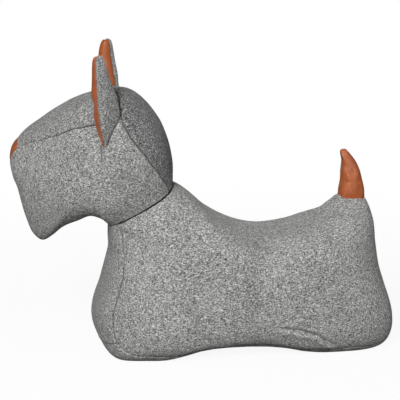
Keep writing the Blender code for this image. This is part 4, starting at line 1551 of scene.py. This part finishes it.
@dataclass
class Tail:
    """Two leather halves over stuffing, standing on the felt stump."""

    front: Point = (117.3, 134.0)
    rear: Point = (140.6, 127.3)
    tip: Point = (121.5, 172.5)
    centre: Point = (128.5, 144.0)
    half_width: float = 11.0
    tip_half_width: float = 7.2
    full: float = 2.1
    root: float = 12.0
    root_lean: float = 0.1
    tip_radius: float = 3.5
    tip_drop: float = 0.5
    front_bows: tuple[Point, Point] = ((0.4, 0.0), (0.75, 1.0))
    rear_bows: tuple[Point, Point] = ((0.35, 6.0), (0.7, 4.5))
    edge: SewnEdge = SewnEdge(radius=1.0, rows=4, slit=0.1, tuck=0.5, dip=0.35, dip_reach=2.8, pucker=0.9,
                              pucker_pitch=5.0)
    pitch: float = 0.9

    def build(self, shop: Workshop) -> None:
        """Make the tail's pieces."""
        front, rear, tip = (np.array(point) for point in (self.front, self.rear, self.tip))
        outline = (front + np.array((self.root_lean, -1)) * self.root, front,
                   *(bowed(front, tip, *bow) for bow in self.front_bows),
                   tip + np.array((-1, -self.tip_drop)) * self.tip_radius, tip,
                   tip + np.array((1, -self.tip_drop)) * self.tip_radius,
                   *(bowed(tip, rear, *bow) for bow in self.rear_bows), rear,
                   rear + np.array((-self.root_lean, -1)) * self.root)
        heights, halves = (front[1], tip[1]), (self.half_width, self.tip_half_width)
        form = StuffedForm([tuple(point) for point in outline], self.centre,
                           lambda x, z: np.interp(z, heights, halves), everywhere(self.full))
        angles = form.evenly(0.0, TURN - TOUCH, self.pitch)[:-1]
        for side in Side:
            patch = side_patch(form, side.value, angles, everywhere(0.0), self.edge, self.pitch)
            shop.sew(f"tail_{side.word}_leather", patch, Slot.LEATHER, f"tail_{side.word}", self.edge)
        shop.stuffing("tail_stuffing", "tail_filling", sink=0.5)


@dataclass(frozen=True)
class SoftBox:
    """A square lamp that faces the dog."""

    name: str
    place: Place
    size: float
    power: float
    aim: Place = (0.0, 0.0, 0.12)

    def build(self) -> None:
        """Make the lamp."""
        light = bpy.data.lights.new(self.name, "AREA")
        light.size = self.size
        light.energy = self.power
        obj = linked(self.name, light)
        obj.location = self.place
        way = Vector(self.aim) - Vector(self.place)
        obj.rotation_euler = way.to_track_quat("-Z", "Y").to_euler()


@dataclass
class Studio:
    """White floor and backdrop, soft light and the camera."""

    target: Place = (-0.0036, 0.0, 0.131)
    azimuth: float = math.radians(-10.0)
    elevation: float = math.radians(12.0)
    distance: float = 1.5
    lens: float = 155.9
    sensor: float = 36.0
    lamps: tuple[SoftBox, ...] = (SoftBox("key_light", (-0.95, -1.95, 1.4), size=0.9, power=67.0),
                                  SoftBox("fill_light", (1.4, -1.85, 1.1), size=1.0, power=14.0),
                                  SoftBox("back_light", (0.3, 2.4, 0.5), size=1.4, power=24.0))
    ambience: float = 0.11
    white_for: tuple[str, str] = ("Camera", "Transmission")
    floor_size: float = 8.0
    floor_as_seen: Place = (0.9, 0.9, 0.9)
    floor_as_light: Place = (0.18, 0.18, 0.18)
    floor_glow: float = 0.92
    floor_fade: tuple[float, float] = (0.25, 0.8)

    def build(self) -> None:
        """Make the studio."""
        self.world()
        self.floor()
        for lamp in self.lamps:
            lamp.build()
        self.camera()
        bpy.context.scene.view_settings.view_transform = "Standard"

    def camera(self) -> None:
        """Camera at the photograph's angle."""
        level = math.cos(self.elevation)
        out = Vector((math.sin(self.azimuth) * level, -math.cos(self.azimuth) * level,
                      math.sin(self.elevation)))
        lens = bpy.data.cameras.new("camera")
        lens.lens = self.lens
        lens.sensor_width = self.sensor
        obj = linked("camera", lens)
        obj.location = Vector(self.target) + out * self.distance
        obj.rotation_euler = (-out).to_track_quat("-Z", "Y").to_euler()
        bpy.context.scene.camera = obj

    def world(self) -> None:
        """White for the camera, softer as light."""
        world = bpy.data.worlds.new("studio")
        world.use_nodes = True
        bpy.context.scene.world = world
        sheet = NodeSheet(world.node_tree)
        soft = sheet.tree.nodes["Background"]
        sheet.feed(soft.inputs["Color"], WHITE)
        sheet.feed(soft.inputs["Strength"], self.ambience)
        white = sheet.add("ShaderNodeBackground", {}, {"Color": WHITE})
        seen, through = (sheet.wire("ShaderNodeLightPath", f"Is {ray} Ray", {}) for ray in self.white_for)
        sheet.show(seen.maths("MAXIMUM", seen, through), soft, white, "World Output")

    def floor(self) -> None:
        """White floor that keeps a soft shadow near the dog and fades into the backdrop further out."""
        built = bmesh.new()
        bmesh.ops.create_grid(built, x_segments=8, y_segments=8, size=self.floor_size / 2)
        mesh = bpy.data.meshes.new("floor")
        built.to_mesh(mesh)
        built.free()
        obj = linked("floor", mesh)
        sheet = ShaderSheet("floor_paper")
        seen = sheet.wire("ShaderNodeLightPath", "Is Camera Ray", {})
        paper = sheet.blend(seen, self.floor_as_light, self.floor_as_seen)
        sheet.finish(Base_Color=paper, Roughness=0.9, Specular_IOR_Level=0.0)
        far = sheet.wire("ShaderNodeVectorMath", "Value", {0: sheet.place}, operation="LENGTH")
        white = sheet.add("ShaderNodeEmission", {}, {"Color": WHITE, "Strength": 1.0})
        glow = seen * (self.floor_glow + far.rise(*self.floor_fade) * (1 - self.floor_glow))
        sheet.show(glow, sheet.shader, white, "Material Output")
        mesh.materials.append(sheet.material)


def main() -> None:
    """Build the studio and the dog, one sub-assembly after another."""
    logging.basicConfig(level=logging.INFO, format="%(message)s")
    Studio().build()
    neck = NeckCut()
    body, head = Body(neck), Head(neck)
    joint = NeckJoint(neck, {Part.BODY: body.form(), Part.HEAD: head.form()})
    rear = float(closed_curve(joint.forms[Part.BODY].outline)[:, 0].max())
    shop = Workshop(shift=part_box("body_side_left")[1][0] / MM - rear)
    inflation = Inflation()
    body.build(shop, joint, inflation)
    head.build(shop, joint, inflation)
    ears = (Ear(Side.LEFT, neck, outer=(-84.8, 43.7, 194.4), inner=(-73.6, 31.0, 218.6),
                tip=(-89.3, 40.0, 269.5)),
            Ear(Side.RIGHT, neck, outer=(-90.5, 43.7, 194.4), inner=(-80.5, 31.0, 217.6),
                tip=(-89.3, 40.0, 264.9)))
    for ear in ears:
        ear.build(shop)
    Tail().build(shop)
    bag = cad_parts["ballast_bag"].data.materials
    bag.clear()
    bag.append(COTTON.material("sand_bag_cotton"))


if __name__ == "__main__":
    main()
